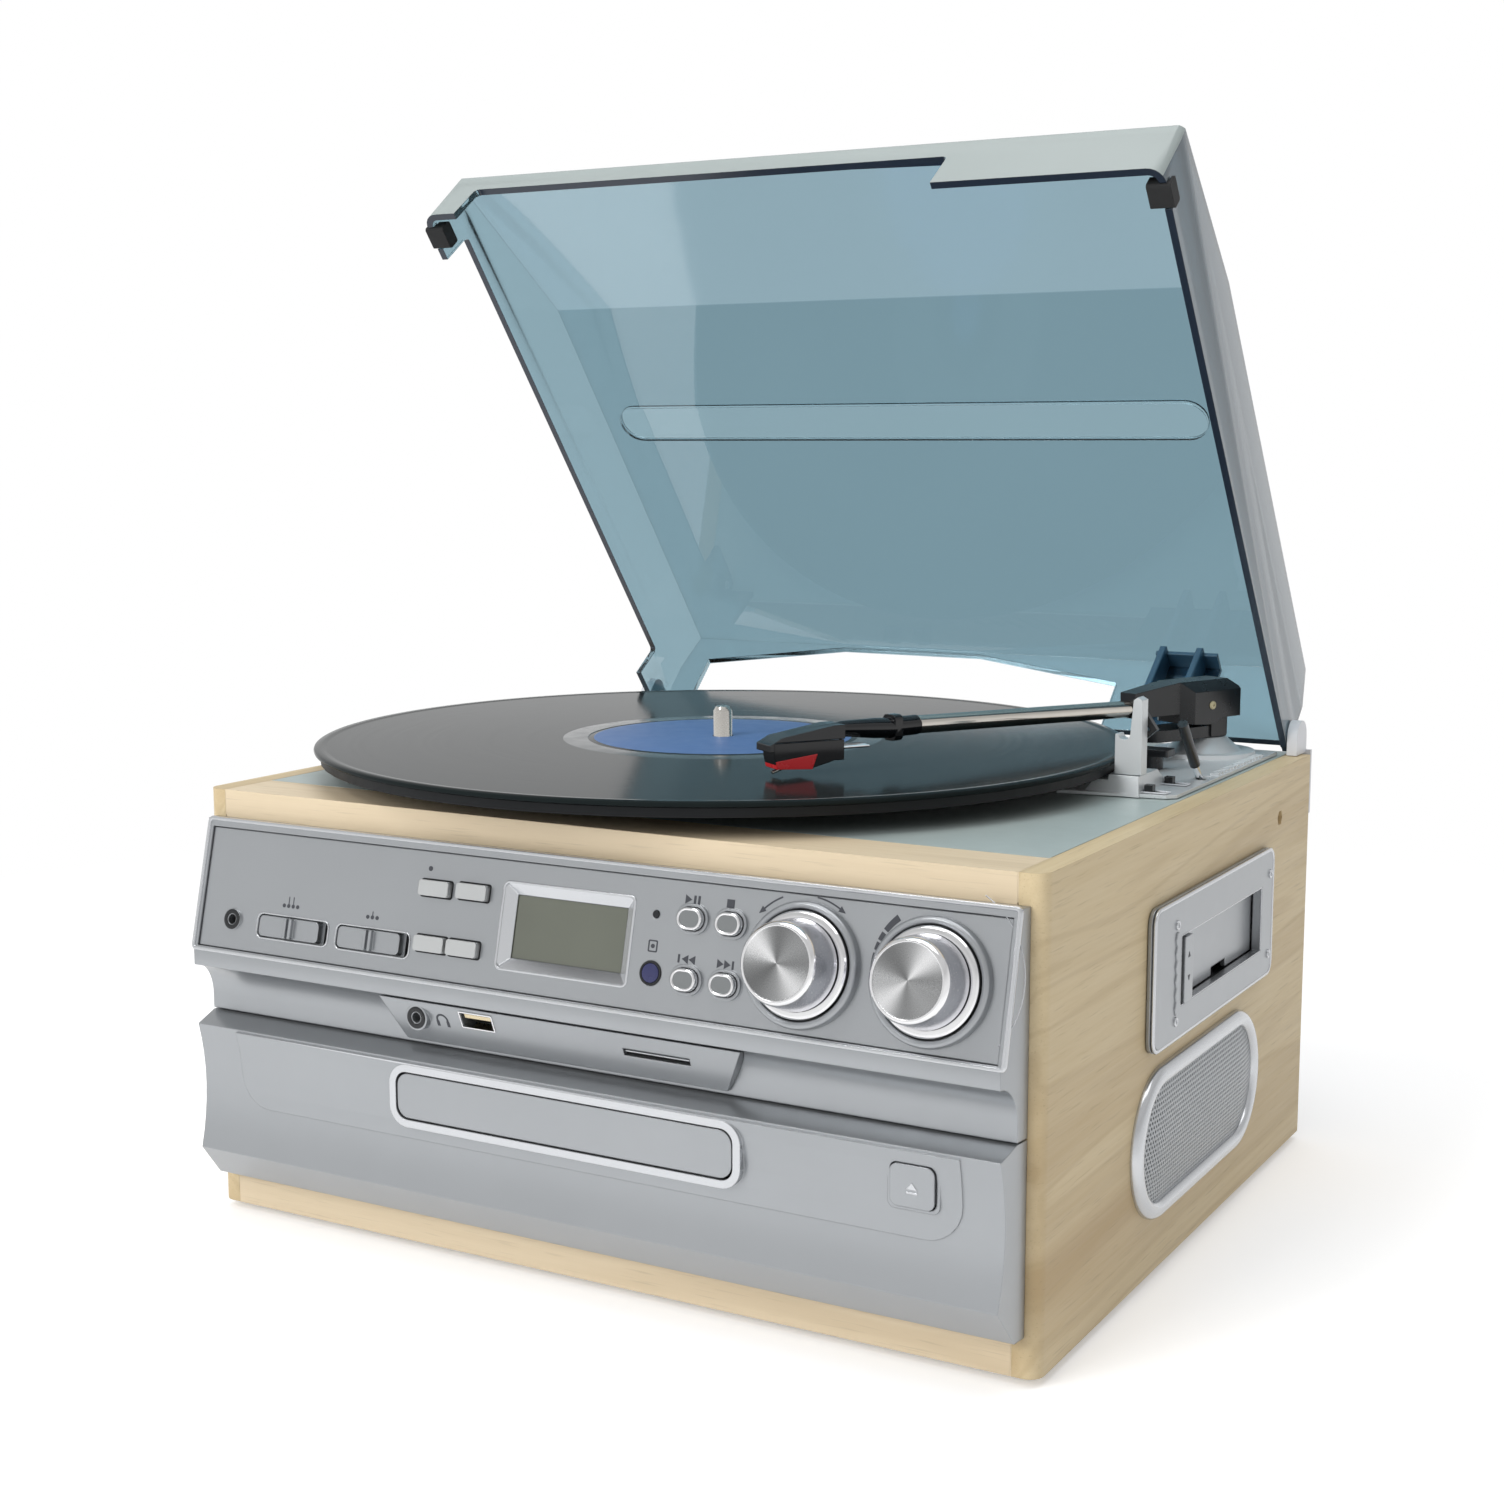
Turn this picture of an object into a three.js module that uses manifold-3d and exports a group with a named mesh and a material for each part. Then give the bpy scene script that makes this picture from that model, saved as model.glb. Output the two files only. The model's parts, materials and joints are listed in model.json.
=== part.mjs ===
import * as THREE from 'three';
import { mergeVertices } from 'three/addons/utils/BufferGeometryUtils.js';
import Module from 'manifold-3d';

// An all-in-one record player with its smoked cover open and its arm on the record, in millimetres.
// X runs to the right, Y to the back and Z up. Heights count from the underside of the cabinet,
// and the whole group is lifted by the height of the feet.

const wasm = await Module();
wasm.setup();

// Common clearances and facet counts
const gap = 0.3;
const over = 1;
const fine = 64;
const round = 24;
const small = 16;
const tiny = 8;
const bend = 5;
const corner = 3;
const facet = 1;
const deg = Math.PI / 180;

// Cabinet
const cab = { width: 320, depth: 270, height: 152, side: 8.5, edge: 5, bottom: 9, back: 3 };
const halfW = cab.width / 2;
const frontY = -cab.depth / 2;
const backY = cab.depth / 2;
const innerX = halfW - cab.side;
const rail = { depth: 23.5, height: 10.5 };
const foot = { height: 3, r: 10, insetX: 26, insetY: 30 };
const plug = { y: 96, z: 133, r: 3, depth: 2 };

// Deck and the raised plate of the arm
const deck = { thick: 3.5, overhang: 3.6 };
const plate = { thick: 1.5, x0: 109, x1: 149.5, y0: -1, y1: 126, cornerR: 3, slope: 6 };
const wedge = { x0: 117, x1: 137.6, y0: 2.6, y1: 34, top: 159.4, inset: 1.8, lean: 5, clear: 1.2 };
const ribs = { x: 148.6, y0: 57, y1: 110, count: 15, w: 1.6, h: 0.9, len: 3.4 };

// Record, platter and drive
const axle = { x: -23.3, y: -5.3, r: 3.55, top: 176, bottom: 118, cap: 2.4 };
const disc = { r: 150.8, top: 164.2, thick: 1.9, hole: 3.75, label: 50, bead: 147, dip: 0.35 };
const platter = { r: 148.5, rim: 3.2, plate: 2.2, rimIn: 143, ringOut: 50, ringIn: 46.5, ringLow: 154.6 };
const bearing = { r: 9, low: 124 };
const belt = { thick: 0.8, height: 2.6, z: 155.2 };
const motor = { dx: -50, dy: 60, r: 16, low: 118, height: 25, shaft: 1.2, pulleyR: 5.5 };

// Tonearm
const pivot = { x: 125.3, y: 109, azimuth: 22.8 };
const base = { plateR: 20, plateH: 1.7, coneR: 14.5, coneTopR: 8.5, coneH: 5.4 };
const yoke = { r: 4, low: 124, z0: 160.9, z1: 165.4, front: 35.6, back: 5, w: 14 };
const cheek = { w: 2.3, z1: 175.5, len: 9, room: 1.5 };
const housing = { w: 19, back: 9.8, front: 20, cut: 4, wall: 1.5, rearLow: 168.5, low: 166.3, noseLow: 167.2,
  shoulder: 179, rearTop: 180, top: 182.8, rise: 3 };
const neck = { u: 43, w: 7.4, root: 10.4, low: 170.6, top: 180 };
const pin = { z: 172, r: 1.8 };
const tube = { r: 3.2, u0: 43.3, z0: 174, u1: 148.7, z1: 176.8 };
const collar = { u0: 149, u1: 157.6, r: 3.5, z: 176.8, clipU: 161, clipW: 6.8, clipH: 9 };
const throat = { u: 160, z: 176.6, r: 3.5, r1: 2.6, r2: 1.6, len0: 8, len1: 23, len2: 29, len: 31.5, rise: 4 };
const shell = { w: 10.4, tail: 184, top: 180.3, brow: 188, chin: 207.4, chinZ: 177.1, tip: 211.8, tipZ: 174.8,
  lip: 172.5, lipU: 210.2, low: 175.6, bendU: 186, bend: 12 };
const pickup = { w: 8.6, u0: 183.9, u1: 209.8, top: 175.2, chinZ: 170.6, heelU: 187.4, low: 168.4 };
const guard = { u0: 196.2, z0: 166.2, u1: 208.8, z1: 166.9 };
const stylus = { root: 203, z: 167, u: 208.6, r: 0.6, tip: 165.1 };

// Arm rest, hook, lever and small switches
const post = { x0: 127.8, x1: 137.4, y: 7.8, w: 5.6, notch: 171.7, high: 185.6, step: 133.2, lip: 173.6 };
const hook = { x: 134.3, z: 181.2, r: 1.2, t: 2.6, tipX: 6.3, tipZ: 6.2, lobeX: 2.4, lobeZ: 9.7 };
const lever = { x: 144.6, y: 49, z: 150.4, tilt: -42, r: 1.3, len: 34, gripR: 1.9, grip0: 12, slotL: 10,
  slotW: 5 };
const lift = { x: 121.5, y: 61, r: 4.2, z1: 158.6, padW: 15, padL: 9, padH: 2.6 };
const toggle = { x0: 137.7, x1: 145.4, w: 3.8, knob: 3, high: 2.8, y0: 8.3, y1: 29 };

// Cover, in its own frame: s runs forward from the hinge axis and t up from the free edge
const cover = {
  axisY: 132.8, axisZ: 158.9, open: 52.07, pinT: 6.1, left: -140.1, right: 152.7, front: 257.8, back: -6.5,
  wall: 2.5, sill: 26.6, top: 46.3, ridge: 183, sillLean: 1, topLean: 4.2, cornerR: 6, backTop: -2,
};
const coverCut = {
  frontX0: -125, frontX1: 72, frontT: 17, leftS0: 19.5, leftS1: 238, leftT: 15.2,
  backX0: -124.5, backX1: 73, backT: 31.5, backRise: 12.5, backEdge: 6.6,
};
const coverRib = { s0: 116, s1: 133, half: 129, mid: 2, rise: 0.9 };
const bumper = { s0: 243, s1: 252, w: 7, low: 0.6, high: 5, lap: 1.2, notch: 2.6 };
const ear = { w: 4, front: 6.3, back: 4.6, drop: 24, strapW: 8, pinR: 2, pinGap: 0.3 };

// Control panel on the front, sloping out downwards, with the cove below it
const panel = { half: 153.5, draft: 2, topY: -139.9, topZ: 141.8, lowY: -150.6, lowZ: 98.7,
  noseY: -151.1, noseZ: 97,
  band: 92, backY: -135.3, crown: 142.4, ledge: 1.6, ledgeIn: 3, wall: 2.4 };
const cove = { midY: -151, midZ: 79.2, deepY: -141, foot: 73.8, wall: 2.6 };
const face = { half: 152.2, top: 2.4, low: 44, sink: 0.8, thick: 2.6 };
const lcd = { x0: -24.5, x1: 25, z0: -37, z1: -9.5, inset: 3.6, r: 2, glassT: 1.6 };
const key = { w: 12.2, h: 5.2, r: 1, proud: 2.2, travel: 0.8, lip: 1, back: 1.4 };
const keyAt = {
  rec_button: [-52.1, -14.4], mode_button: [-36.8, -14], del_button: [-51.4, -32.7], prog_button: [-38,
    -32.7],
};
const oval = { w: 9, h: 7, proud: 1.6, rim: 0.9, rimH: 1 };
const ovalAt = {
  play_button: [46.9, -13.8], stop_button: [60.6, -13.9], previous_button: [47.2,
    -32.6], next_button: [60.9, -32.5],
};
const slide = { w: 31, h: 8, r: 2, plateW: 26.4, plateH: 7.2, ridge: 3.4, ridgeAt: 12, ridgeH: 1.5,
  sink: 0.2, lip: 0.7,
  z: -34.4 };
const slideAt = { function_slider: -111.2, band_slider: -76.2 };
const dial = { skirtR: 16.4, skirtH: 3.2, bodyR: 14, tipR: 12, high: 16, fillet: 1.2, ringR: 18.9,
  ringIn: 17, ringH: 1.8,
  shaft: 3, shaftL: 9, dimple: 0.4 };
const dialAt = { tuning_knob: [86.4, -23.4], volume_knob: [128.8, -23.3] };
const auxJack = { x: -138.1, z: -33.7, r: 3.7, hole: 1.8, rise: 0.8 };
const irEye = { x: 33.9, z: -32, r: 3.9, sink: 0.8 };
const lamp = { x: 33.5, z: -13.7, r: 1.3 };

// Plate with the sockets in the cove
const pad = { x0: -73, x1: 67, low0: -66, low1: 59, z0: 75.2, z1: 90.2, y0: -142.4, y1: -148.6 };
const usb = { x: -33.5, z: 86, w: 12.5, h: 5.2, deep: 13, wall: 1.2 };
const card = { x: 35.2, z: 83.6, w: 24.6, h: 2.6, deep: 20, wall: 1.2 };
const phones = { x: -57.9, z: 84.3, r: 4.4, hole: 1.8, deep: 10, rise: 0.8 };
const sockets = { x0: -64, x1: 54, z0: 77.5, z1: 89.2, y: -134.8, t: 1.6 };

// Lower front with the disc tray
const low = { topY: -141, topZ: 73.2, ridgeY: -150.2, ridgeZ: 70.2, midY: -147.2, midZ: 47.5,
  lipY: -150.8, lipZ: 25,
  endY: -141, endZ: 12.9, wall: 3 };
const field = { x0: -136, x1: 141, z0: 42.2, r: 12, rise: 0.7 };
const tray = { half: 64.7, z0: 50, z1: 65.3, front: -150.2, doorT: 3, r: 4.5, plateW: 61.5, plateL: 130,
  z2: 53, t: 5.4,
  discR: 60.5, dish: 2.2, bore: 17, surround: 2.6, backR: 10 };
const loader = { half: 68, y0: -128, y1: 18, z0: 42, z1: 64, wall: 2, hubR: 13, floor: 2.4, slideR: 1.6 };
const eject = { x: 125.6, z: 58.4, w: 14.4, h: 13, r: 2.4, proud: 1.2, travel: 1, rim: 1, rimH: 0.8,
  lip: 1.2, back: 1.6 };

// Right side: cassette door
const tape = { y0: -49, y1: 81, z0: 77, z1: 125, r: 5, t: 2.5, openY0: -22.8, openY1: 67, openZ0: 88,
  openZ1: 112,
  boardY0: -30, boardY1: 74, boardZ0: 83, boardZ1: 117, bevel: 1.2 };
const flap = { y0: -8.2, y1: 66.7, z0: 88.3, z1: 113.2, x0: 157, t: 1.8, hinge: 1.1, axisZ: 112.4,
  notchW: 16, notchH: 3 };
const tapeKey = { y0: -20.5, y1: -12.4, z0: 88.3, z1: 110.9, out: 163.4, in: 146, travel: 4 };
const deckBox = { x0: 72, wall: 2, y0: -29.5, y1: 73.5, z0: 83.5, z1: 116.5 };

// Speakers
const horn = { y: 4.5, z: 44.7, halfL: 65, halfH: 26, ring: 6, rise: 3.6, plate: 1.6, dome: 2.6,
  boardIn: 5, lead: 2 };
const driver = { cone: 0.82, flange: 2, depth: 24, magnetR: 15, magnetH: 9, neck: 0.45 };

// Inside and back
const board = { x0: -60, x1: 130, y0: 40, y1: 118, z: 22, t: 1.6, stand: 3, chips: 4, chipH: 3,
  chip: 14 };
const mains = { x: -112, y: 92, w: 46, d: 40, h: 36, coilW: 30, coilH: 44, foot: 3 };
const rca = { x: -96, z: 60, pitch: 16, r: 5, hole: 2, len: 7 };
const gland = { x: 110, z: 30, r: 7, hole: 3.3, len: 5 };
const vent = { count: 9, w: 3, h: 34, pitch: 9, x: -36, z: 96 };

// Solids from geometry
function solidOf(geometry) {
  const bare = geometry.clone();
  bare.deleteAttribute('normal');
  bare.deleteAttribute('uv');
  const merged = mergeVertices(bare, 1e-4);
  const pos = new Float32Array(merged.attributes.position.array);
  const tri = new Uint32Array(merged.index.array);
  let volume = 0;
  const a = new THREE.Vector3();
  const b = new THREE.Vector3();
  const c = new THREE.Vector3();
  for (let i = 0; i < tri.length; i += 3) {
    a.fromArray(pos, tri[i] * 3);
    b.fromArray(pos, tri[i + 1] * 3);
    c.fromArray(pos, tri[i + 2] * 3);
    volume += a.dot(b.cross(c));
  }
  if (volume < 0) {
    for (let i = 0; i < tri.length; i += 3) {
      const keep = tri[i];
      tri[i] = tri[i + 1];
      tri[i + 1] = keep;
    }
  }
  return new wasm.Manifold(new wasm.Mesh({ numProp: 3, vertProperties: pos, triVerts: tri }));
}

function geometryOf(solid) {
  const mesh = solid.getMesh();
  const geometry = new THREE.BufferGeometry();
  geometry.setAttribute('position', new THREE.BufferAttribute(new Float32Array(mesh.vertProperties), 3));
  geometry.setIndex(new THREE.BufferAttribute(new Uint32Array(mesh.triVerts), 1));
  geometry.computeVertexNormals();
  return geometry;
}

function join(first, ...rest) {
  return rest.reduce((sum, solid) => sum.add(solid), first);
}

function cut(first, ...rest) {
  return rest.reduce((sum, solid) => sum.subtract(solid), first);
}

function moved(solid, x, y, z) {
  return solid.translate([x, y, z]);
}

// Basic shapes: a block by its limits, and outlines pulled along each axis
function block(x0, x1, y0, y1, z0, z1) {
  const geometry = new THREE.BoxGeometry(x1 - x0, y1 - y0, z1 - z0);
  geometry.translate((x0 + x1) / 2, (y0 + y1) / 2, (z0 + z1) / 2);
  return solidOf(geometry);
}

function pull(shape, length, facets = corner) {
  return new THREE.ExtrudeGeometry(shape, { depth: length, bevelEnabled: false, curveSegments: facets });
}

// outline in (x, y)
function alongZ(shape, z0, z1, facets) {
  const geometry = pull(shape, z1 - z0, facets);
  geometry.translate(0, 0, z0);
  return solidOf(geometry);
}

// outline in (y, z)
function alongX(shape, x0, x1, facets) {
  const geometry = pull(shape, x1 - x0, facets);
  geometry.applyMatrix4(new THREE.Matrix4().set(0, 0, 1, x0, 1, 0, 0, 0, 0, 1, 0, 0, 0, 0, 0, 1));
  return solidOf(geometry);
}

// outline in (x, z)
function alongY(shape, y0, y1, facets) {
  const geometry = pull(shape, y1 - y0, facets);
  geometry.applyMatrix4(new THREE.Matrix4().set(1, 0, 0, 0, 0, 0, -1, y1, 0, 1, 0, 0, 0, 0, 0, 1));
  return solidOf(geometry);
}

function outline(points) {
  return new THREE.Shape(points.map(([u, v]) => new THREE.Vector2(u, v)));
}

function rounded(u0, u1, v0, v1, r) {
  const shape = new THREE.Shape();
  shape.moveTo(u0 + r, v0);
  shape.lineTo(u1 - r, v0);
  shape.absarc(u1 - r, v0 + r, r, -Math.PI / 2, 0, false);
  shape.lineTo(u1, v1 - r);
  shape.absarc(u1 - r, v1 - r, r, 0, Math.PI / 2, false);
  shape.lineTo(u0 + r, v1);
  shape.absarc(u0 + r, v1 - r, r, Math.PI / 2, Math.PI, false);
  shape.lineTo(u0, v0 + r);
  shape.absarc(u0 + r, v0 + r, r, Math.PI, Math.PI * 1.5, false);
  return shape;
}

function circle(u, v, r) {
  const shape = new THREE.Shape();
  shape.absarc(u, v, r, 0, Math.PI * 2, false);
  return shape;
}

function ellipse(u, v, ru, rv) {
  const shape = new THREE.Shape();
  shape.absellipse(u, v, ru, rv, 0, Math.PI * 2, false, 0);
  return shape;
}

// A turned solid: profile in (radius, height), axis along Z
function turned(points, facets = round) {
  const geometry = new THREE.LatheGeometry(points.map(([r, h]) => new THREE.Vector2(r, h)), facets);
  geometry.rotateX(Math.PI / 2);
  return solidOf(geometry);
}

function rod(r, z0, z1, facets = small) {
  return turned([[0, z0], [r, z0], [r, z1], [0, z1]], facets);
}

// A turned solid whose height points forwards, towards -Y
function facing(points, facets = round) {
  return turned(points, facets).rotate([90, 0, 0]);
}

// Tree of pieces
const root = new THREE.Group();
const body = new THREE.Group();
root.add(body);

function material(color, roughness, metalness, extra = {}) {
  return new THREE.MeshStandardMaterial({ color, roughness, metalness, ...extra });
}

const look = {
  wood: () => material(0xd8c49a, 0.6, 0),
  fibre: () => material(0x3a322a, 0.8, 0),
  deck: () => material(0x8b979c, 0.45, 0.3),
  silver: () => material(0xc9ccd0, 0.4, 0.5),
  chrome: () => material(0xd5d8db, 0.15, 1),
  steel: () => material(0xb5b1a6, 0.25, 1),
  brass: () => material(0xb08d4a, 0.3, 1),
  black: () => material(0x141416, 0.4, 0),
  rubber: () => material(0x18181a, 0.85, 0),
  vinyl: () => material(0x1b1d1f, 0.2, 0),
  red: () => material(0xc01824, 0.4, 0),
  smoke: () => material(0x5f7f8c, 0.1, 0, { transparent: true, opacity: 0.5 }),
  display: () => material(0x8fa39a, 0.3, 0),
  board: () => material(0x1f5a36, 0.6, 0),
};

function piece(name, solid, surface, parent = body) {
  const mesh = new THREE.Mesh(geometryOf(solid), surface());
  mesh.name = name;
  parent.add(mesh);
  return mesh;
}

// Racetrack of the speaker in (y, z)
function racetrack(inset) {
  const l = horn.halfL - inset;
  const h = horn.halfH - inset;
  return rounded(horn.y - l, horn.y + l, horn.z - h, horn.z + h, h - gap);
}

function sideBoard(sign) {
  const plan = new THREE.Shape();
  const out = halfW;
  plan.moveTo(innerX, frontY);
  plan.lineTo(out - cab.edge, frontY);
  plan.absarc(out - cab.edge, frontY + cab.edge, cab.edge, -Math.PI / 2, 0, false);
  plan.lineTo(out, backY);
  plan.lineTo(innerX, backY);
  let solid = alongZ(plan, 0, cab.height);
  solid = cut(solid, alongX(racetrack(horn.boardIn), innerX - over, halfW + over));
  if (sign > 0) {
    const hole = rounded(tape.boardY0, tape.boardY1, tape.boardZ0, tape.boardZ1, tape.bevel);
    const bore = alongX(circle(plug.y, plug.z, plug.r), halfW - plug.depth, halfW + over);
    return cut(solid, alongX(hole, innerX - over, halfW + over), bore);
  }
  return solid.mirror([1, 0, 0]);
}

function cabinet() {
  const x = innerX - gap;
  piece('side_left', sideBoard(-1), look.wood);
  piece('side_right', sideBoard(1), look.wood);
  const railLow = cab.height - rail.height;
  piece('top_rail', block(-x, x, frontY, frontY + rail.depth, railLow, cab.height), look.wood);
  let bottom = block(-x, x, frontY, backY - cab.back - gap, 0, cab.bottom);
  bottom = join(bottom, block(-x, x, frontY, frontY + cab.bottom, cab.bottom - over, low.endZ - gap));
  const fx = halfW - foot.insetX;
  const fy = backY - foot.insetY;
  for (const [px, py] of [[fx, fy], [-fx, fy], [fx, -fy], [-fx, -fy]]) {
    bottom = join(bottom, moved(rod(foot.r, -foot.height, over, small), px, py, 0));
  }
  piece('base_board', bottom, look.wood);
}

function backPanel() {
  const x = innerX - gap;
  const y0 = backY - cab.back;
  let solid = block(-x, x, y0, backY - gap, cab.bottom + gap, cab.height - deck.thick - gap);
  for (let i = 0; i < vent.count; i++) {
    const vx = vent.x + i * vent.pitch;
    const slot = rounded(vx - vent.w / 2, vx + vent.w / 2, vent.z - vent.h / 2, vent.z + vent.h / 2,
      vent.w / 2 - gap);
    solid = cut(solid, alongY(slot, y0 - over, backY + over, facet));
  }
  for (const i of [0, 1]) {
    const rx = rca.x + i * rca.pitch;
    solid = join(solid, alongY(circle(rx, rca.z, rca.r), y0, backY + rca.len));
    solid = cut(solid, alongY(circle(rx, rca.z, rca.hole), backY - over, backY + rca.len + over));
  }
  solid = join(solid, alongY(circle(gland.x, gland.z, gland.r), y0, backY + gland.len));
  solid = cut(solid, alongY(circle(gland.x, gland.z, gland.hole), y0 - over, backY + gland.len + over));
  piece('back_panel', solid, look.fibre);
}

const deckTop = cab.height;
const plateTop = deckTop + plate.thick;
const pulley = { x: axle.x + motor.dx, y: axle.y + motor.dy };
const platterTop = disc.top - disc.thick - gap;
const platterLow = platterTop - platter.rim;

function slotZ(x, y, w, l, z0, z1) {
  return block(x - w / 2, x + w / 2, y - l / 2, y + l / 2, z0, z1);
}

function toggleSlot(y, z0, z1) {
  return block(toggle.x0, toggle.x1, y - toggle.w / 2, y + toggle.w / 2, z0, z1);
}

function deckPlate() {
  const x = innerX - gap;
  const z0 = deckTop - deck.thick;
  const y0 = frontY + rail.depth + gap;
  let solid = block(-x, x, y0, backY + deck.overhang, z0, deckTop);
  const tower = moved(rod(bearing.r, bearing.low, deckTop - over, round), axle.x, axle.y, 0);
  const armTower = moved(rod(bearing.r, bearing.low, deckTop - over, round), pivot.x, pivot.y, 0);
  solid = join(solid, tower, armTower);
  solid = cut(solid,
    moved(rod(axle.r + gap, z0 - cab.height, deckTop + over, small), axle.x, axle.y, 0),
    moved(rod(yoke.r + gap, z0 - cab.height, deckTop + over, small), pivot.x, pivot.y, 0),
    moved(rod(motor.shaft + over, z0 - over, deckTop + over, small), pulley.x, pulley.y, 0),
    slotZ(lever.x, lever.y, lever.slotW, lever.slotL, z0 - over, deckTop + over),
    toggleSlot(toggle.y0, z0 - over, deckTop + over),
    toggleSlot(toggle.y1, z0 - over, deckTop + over));
  piece('deck', solid, look.deck);
}

// Raised plate round the arm: its left edge follows the record, the arm rest stands on its wedge
function armPlate() {
  const z0 = deckTop + gap;
  const plan = outline([[plate.x0, plate.y0], [plate.x1 - plate.cornerR, plate.y0 + plate.slope],
    [plate.x1, plate.y0 + plate.slope + plate.cornerR], [plate.x1, plate.y1], [plate.x0, plate.y1]]);
  let solid = alongZ(plan, z0, plateTop);
  const w = wedge;
  const ramp = alongX(outline([[w.y0, z0], [w.y1, z0], [w.y1 - w.lean * 2, w.top],
    [w.y0 + w.inset, w.top]]), w.x0, w.x1);
  const sides = alongY(outline([[w.x0, z0], [w.x1, z0], [w.x1 - w.inset / 2, w.top],
    [w.x0 + w.lean, w.top]]),
    w.y0 - over, w.y1 + over);
  const sweep = moved(rod(platter.r + w.clear, platterLow - w.clear, w.top + over, fine), axle.x, axle.y,
    0);
  solid = join(solid, cut(ramp.intersect(sides), sweep));
  for (let i = 0; i < ribs.count; i++) {
    const y = ribs.y0 + (ribs.y1 - ribs.y0) * i / (ribs.count - 1);
    solid = join(solid, block(ribs.x - ribs.len, ribs.x, y - ribs.w / 2, y + ribs.w / 2, plateTop - gap,
      plateTop + ribs.h));
  }
  solid = cut(join(solid, armBase()),
    moved(rod(yoke.r + gap, z0 - over, wedge.top + cab.height, small), pivot.x, pivot.y, 0),
    slotZ(lever.x, lever.y, lever.slotW, lever.slotL, z0 - over, plateTop + over),
    toggleSlot(toggle.y0, z0 - over, wedge.top + over),
    toggleSlot(toggle.y1, z0 - over, wedge.top + over));
  piece('arm_plate', solid, look.silver);
}

function turntable() {
  const top = disc.top;
  const low0 = top - disc.thick;
  const record = turned([[disc.hole, low0], [disc.r - over / 2, low0], [disc.r, low0 + disc.thick / 2],
    [disc.r - over / 2, top], [disc.bead + over, top], [disc.bead, top - disc.dip], [disc.label + over,
      top - disc.dip],
    [disc.label, top], [disc.hole, top], [disc.hole, low0]], fine);
  piece('record', moved(record, axle.x, axle.y, 0), look.vinyl);
  const pTop = platterTop;
  const under = pTop - platter.plate;
  const rimLow = platterLow;
  const wheel = turned([[disc.hole, under], [platter.ringIn, under], [platter.ringIn, platter.ringLow],
    [platter.ringOut, platter.ringLow], [platter.ringOut, under], [platter.rimIn, under], [platter.rimIn,
      rimLow],
    [platter.r, rimLow], [platter.r, pTop], [disc.hole, pTop], [disc.hole, under]], fine);
  piece('platter', moved(wheel, axle.x, axle.y, 0), look.black);
  const tip = axle.top;
  const shaft = turned([[0, axle.bottom], [axle.r, axle.bottom], [axle.r, tip - axle.cap],
    [axle.r * Math.cos(Math.PI / 4), tip - axle.cap * (1 - Math.sin(Math.PI / 4))], [0, tip]], small);
  piece('spindle', moved(shaft, axle.x, axle.y, 0), look.steel);
}

// Belt round the platter's ring and the motor's pulley, with its two straight runs
function beltLoop(extra) {
  const dx = motor.dx;
  const dy = motor.dy;
  const dist = Math.hypot(dx, dy);
  const r1 = platter.ringOut + gap + extra;
  const r2 = motor.pulleyR + gap + extra;
  const along = Math.atan2(dy, dx);
  const spread = Math.acos((r1 - r2) / dist);
  const shape = new THREE.Shape();
  shape.absarc(axle.x, axle.y, r1, along + spread, along - spread + Math.PI * 2, false);
  shape.absarc(pulley.x, pulley.y, r2, along - spread, along + spread, false);
  return shape;
}

function drive() {
  const outer = alongZ(beltLoop(belt.thick), belt.z, belt.z + belt.height, small);
  const inner = alongZ(beltLoop(0), belt.z - over, belt.z + belt.height + over, small);
  piece('belt', cut(outer, inner), look.rubber);
  const motorTop = motor.low + motor.height;
  const can = turned([[0, motor.low], [motor.r, motor.low], [motor.r, motorTop], [motor.r / 2, motorTop],
    [motor.r / 2, motorTop + over], [0, motorTop + over]], round);
  const shaft = rod(motor.shaft, motorTop, motorTop + over + gap, tiny);
  piece('motor', moved(join(can, shaft), pulley.x, pulley.y, 0), look.steel);
  const z0 = belt.z - gap;
  const z1 = belt.z + belt.height + gap;
  const wheel = turned([[0, motorTop + over * 2], [motor.shaft, motorTop + over * 2],
    [motor.shaft, z0 - gap],
    [motor.pulleyR + gap / 2, z0 - gap], [motor.pulleyR, z0], [motor.pulleyR, z1], [0, z1]], small);
  piece('pulley', moved(wheel, pulley.x, pulley.y, 0), look.brass);
}

// Tonearm: its own group, forwards along -Y, turned so that the stylus stands over the grooves
const arm = new THREE.Group();
arm.position.set(pivot.x, pivot.y, 0);
arm.rotation.z = -pivot.azimuth * deg;
body.add(arm);

function armBase() {
  const z0 = plateTop;
  const z1 = z0 + base.plateH;
  const z2 = z1 + base.coneH;
  const cone = turned([[0, z0 - over], [base.plateR, z0 - over], [base.plateR, z0],
    [base.plateR - over / 2, z1],
    [base.coneR, z1], [base.coneTopR + over, z2 - over], [base.coneTopR, z2], [0, z2]], round);
  return moved(cone, pivot.x, pivot.y, 0);
}

function armYoke() {
  const plan = new THREE.Shape();
  const half = yoke.w / 2;
  plan.moveTo(half, yoke.back);
  plan.lineTo(-half, yoke.back);
  plan.lineTo(-half, -yoke.front + half);
  plan.absarc(0, -yoke.front + half, half, Math.PI, Math.PI * 2, false);
  let solid = alongZ(plan, yoke.z0, yoke.z1, corner);
  solid = join(solid, rod(yoke.r, yoke.low, yoke.z0 + over, small));
  for (const sign of [-1, 1]) {
    const outer = housing.w / 2 - housing.wall - gap;
    const x0 = sign > 0 ? outer - cheek.w : -outer;
    solid = join(solid,
      alongX(rounded(-cheek.len / 2, cheek.len / 2, yoke.z0, cheek.z1, over), x0, x0 + cheek.w, corner));
  }
  const bore = alongX(circle(0, pin.z, pin.r + gap), -housing.w, housing.w, tiny);
  piece('arm_yoke', cut(solid, bore), look.black, arm);
}

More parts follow.
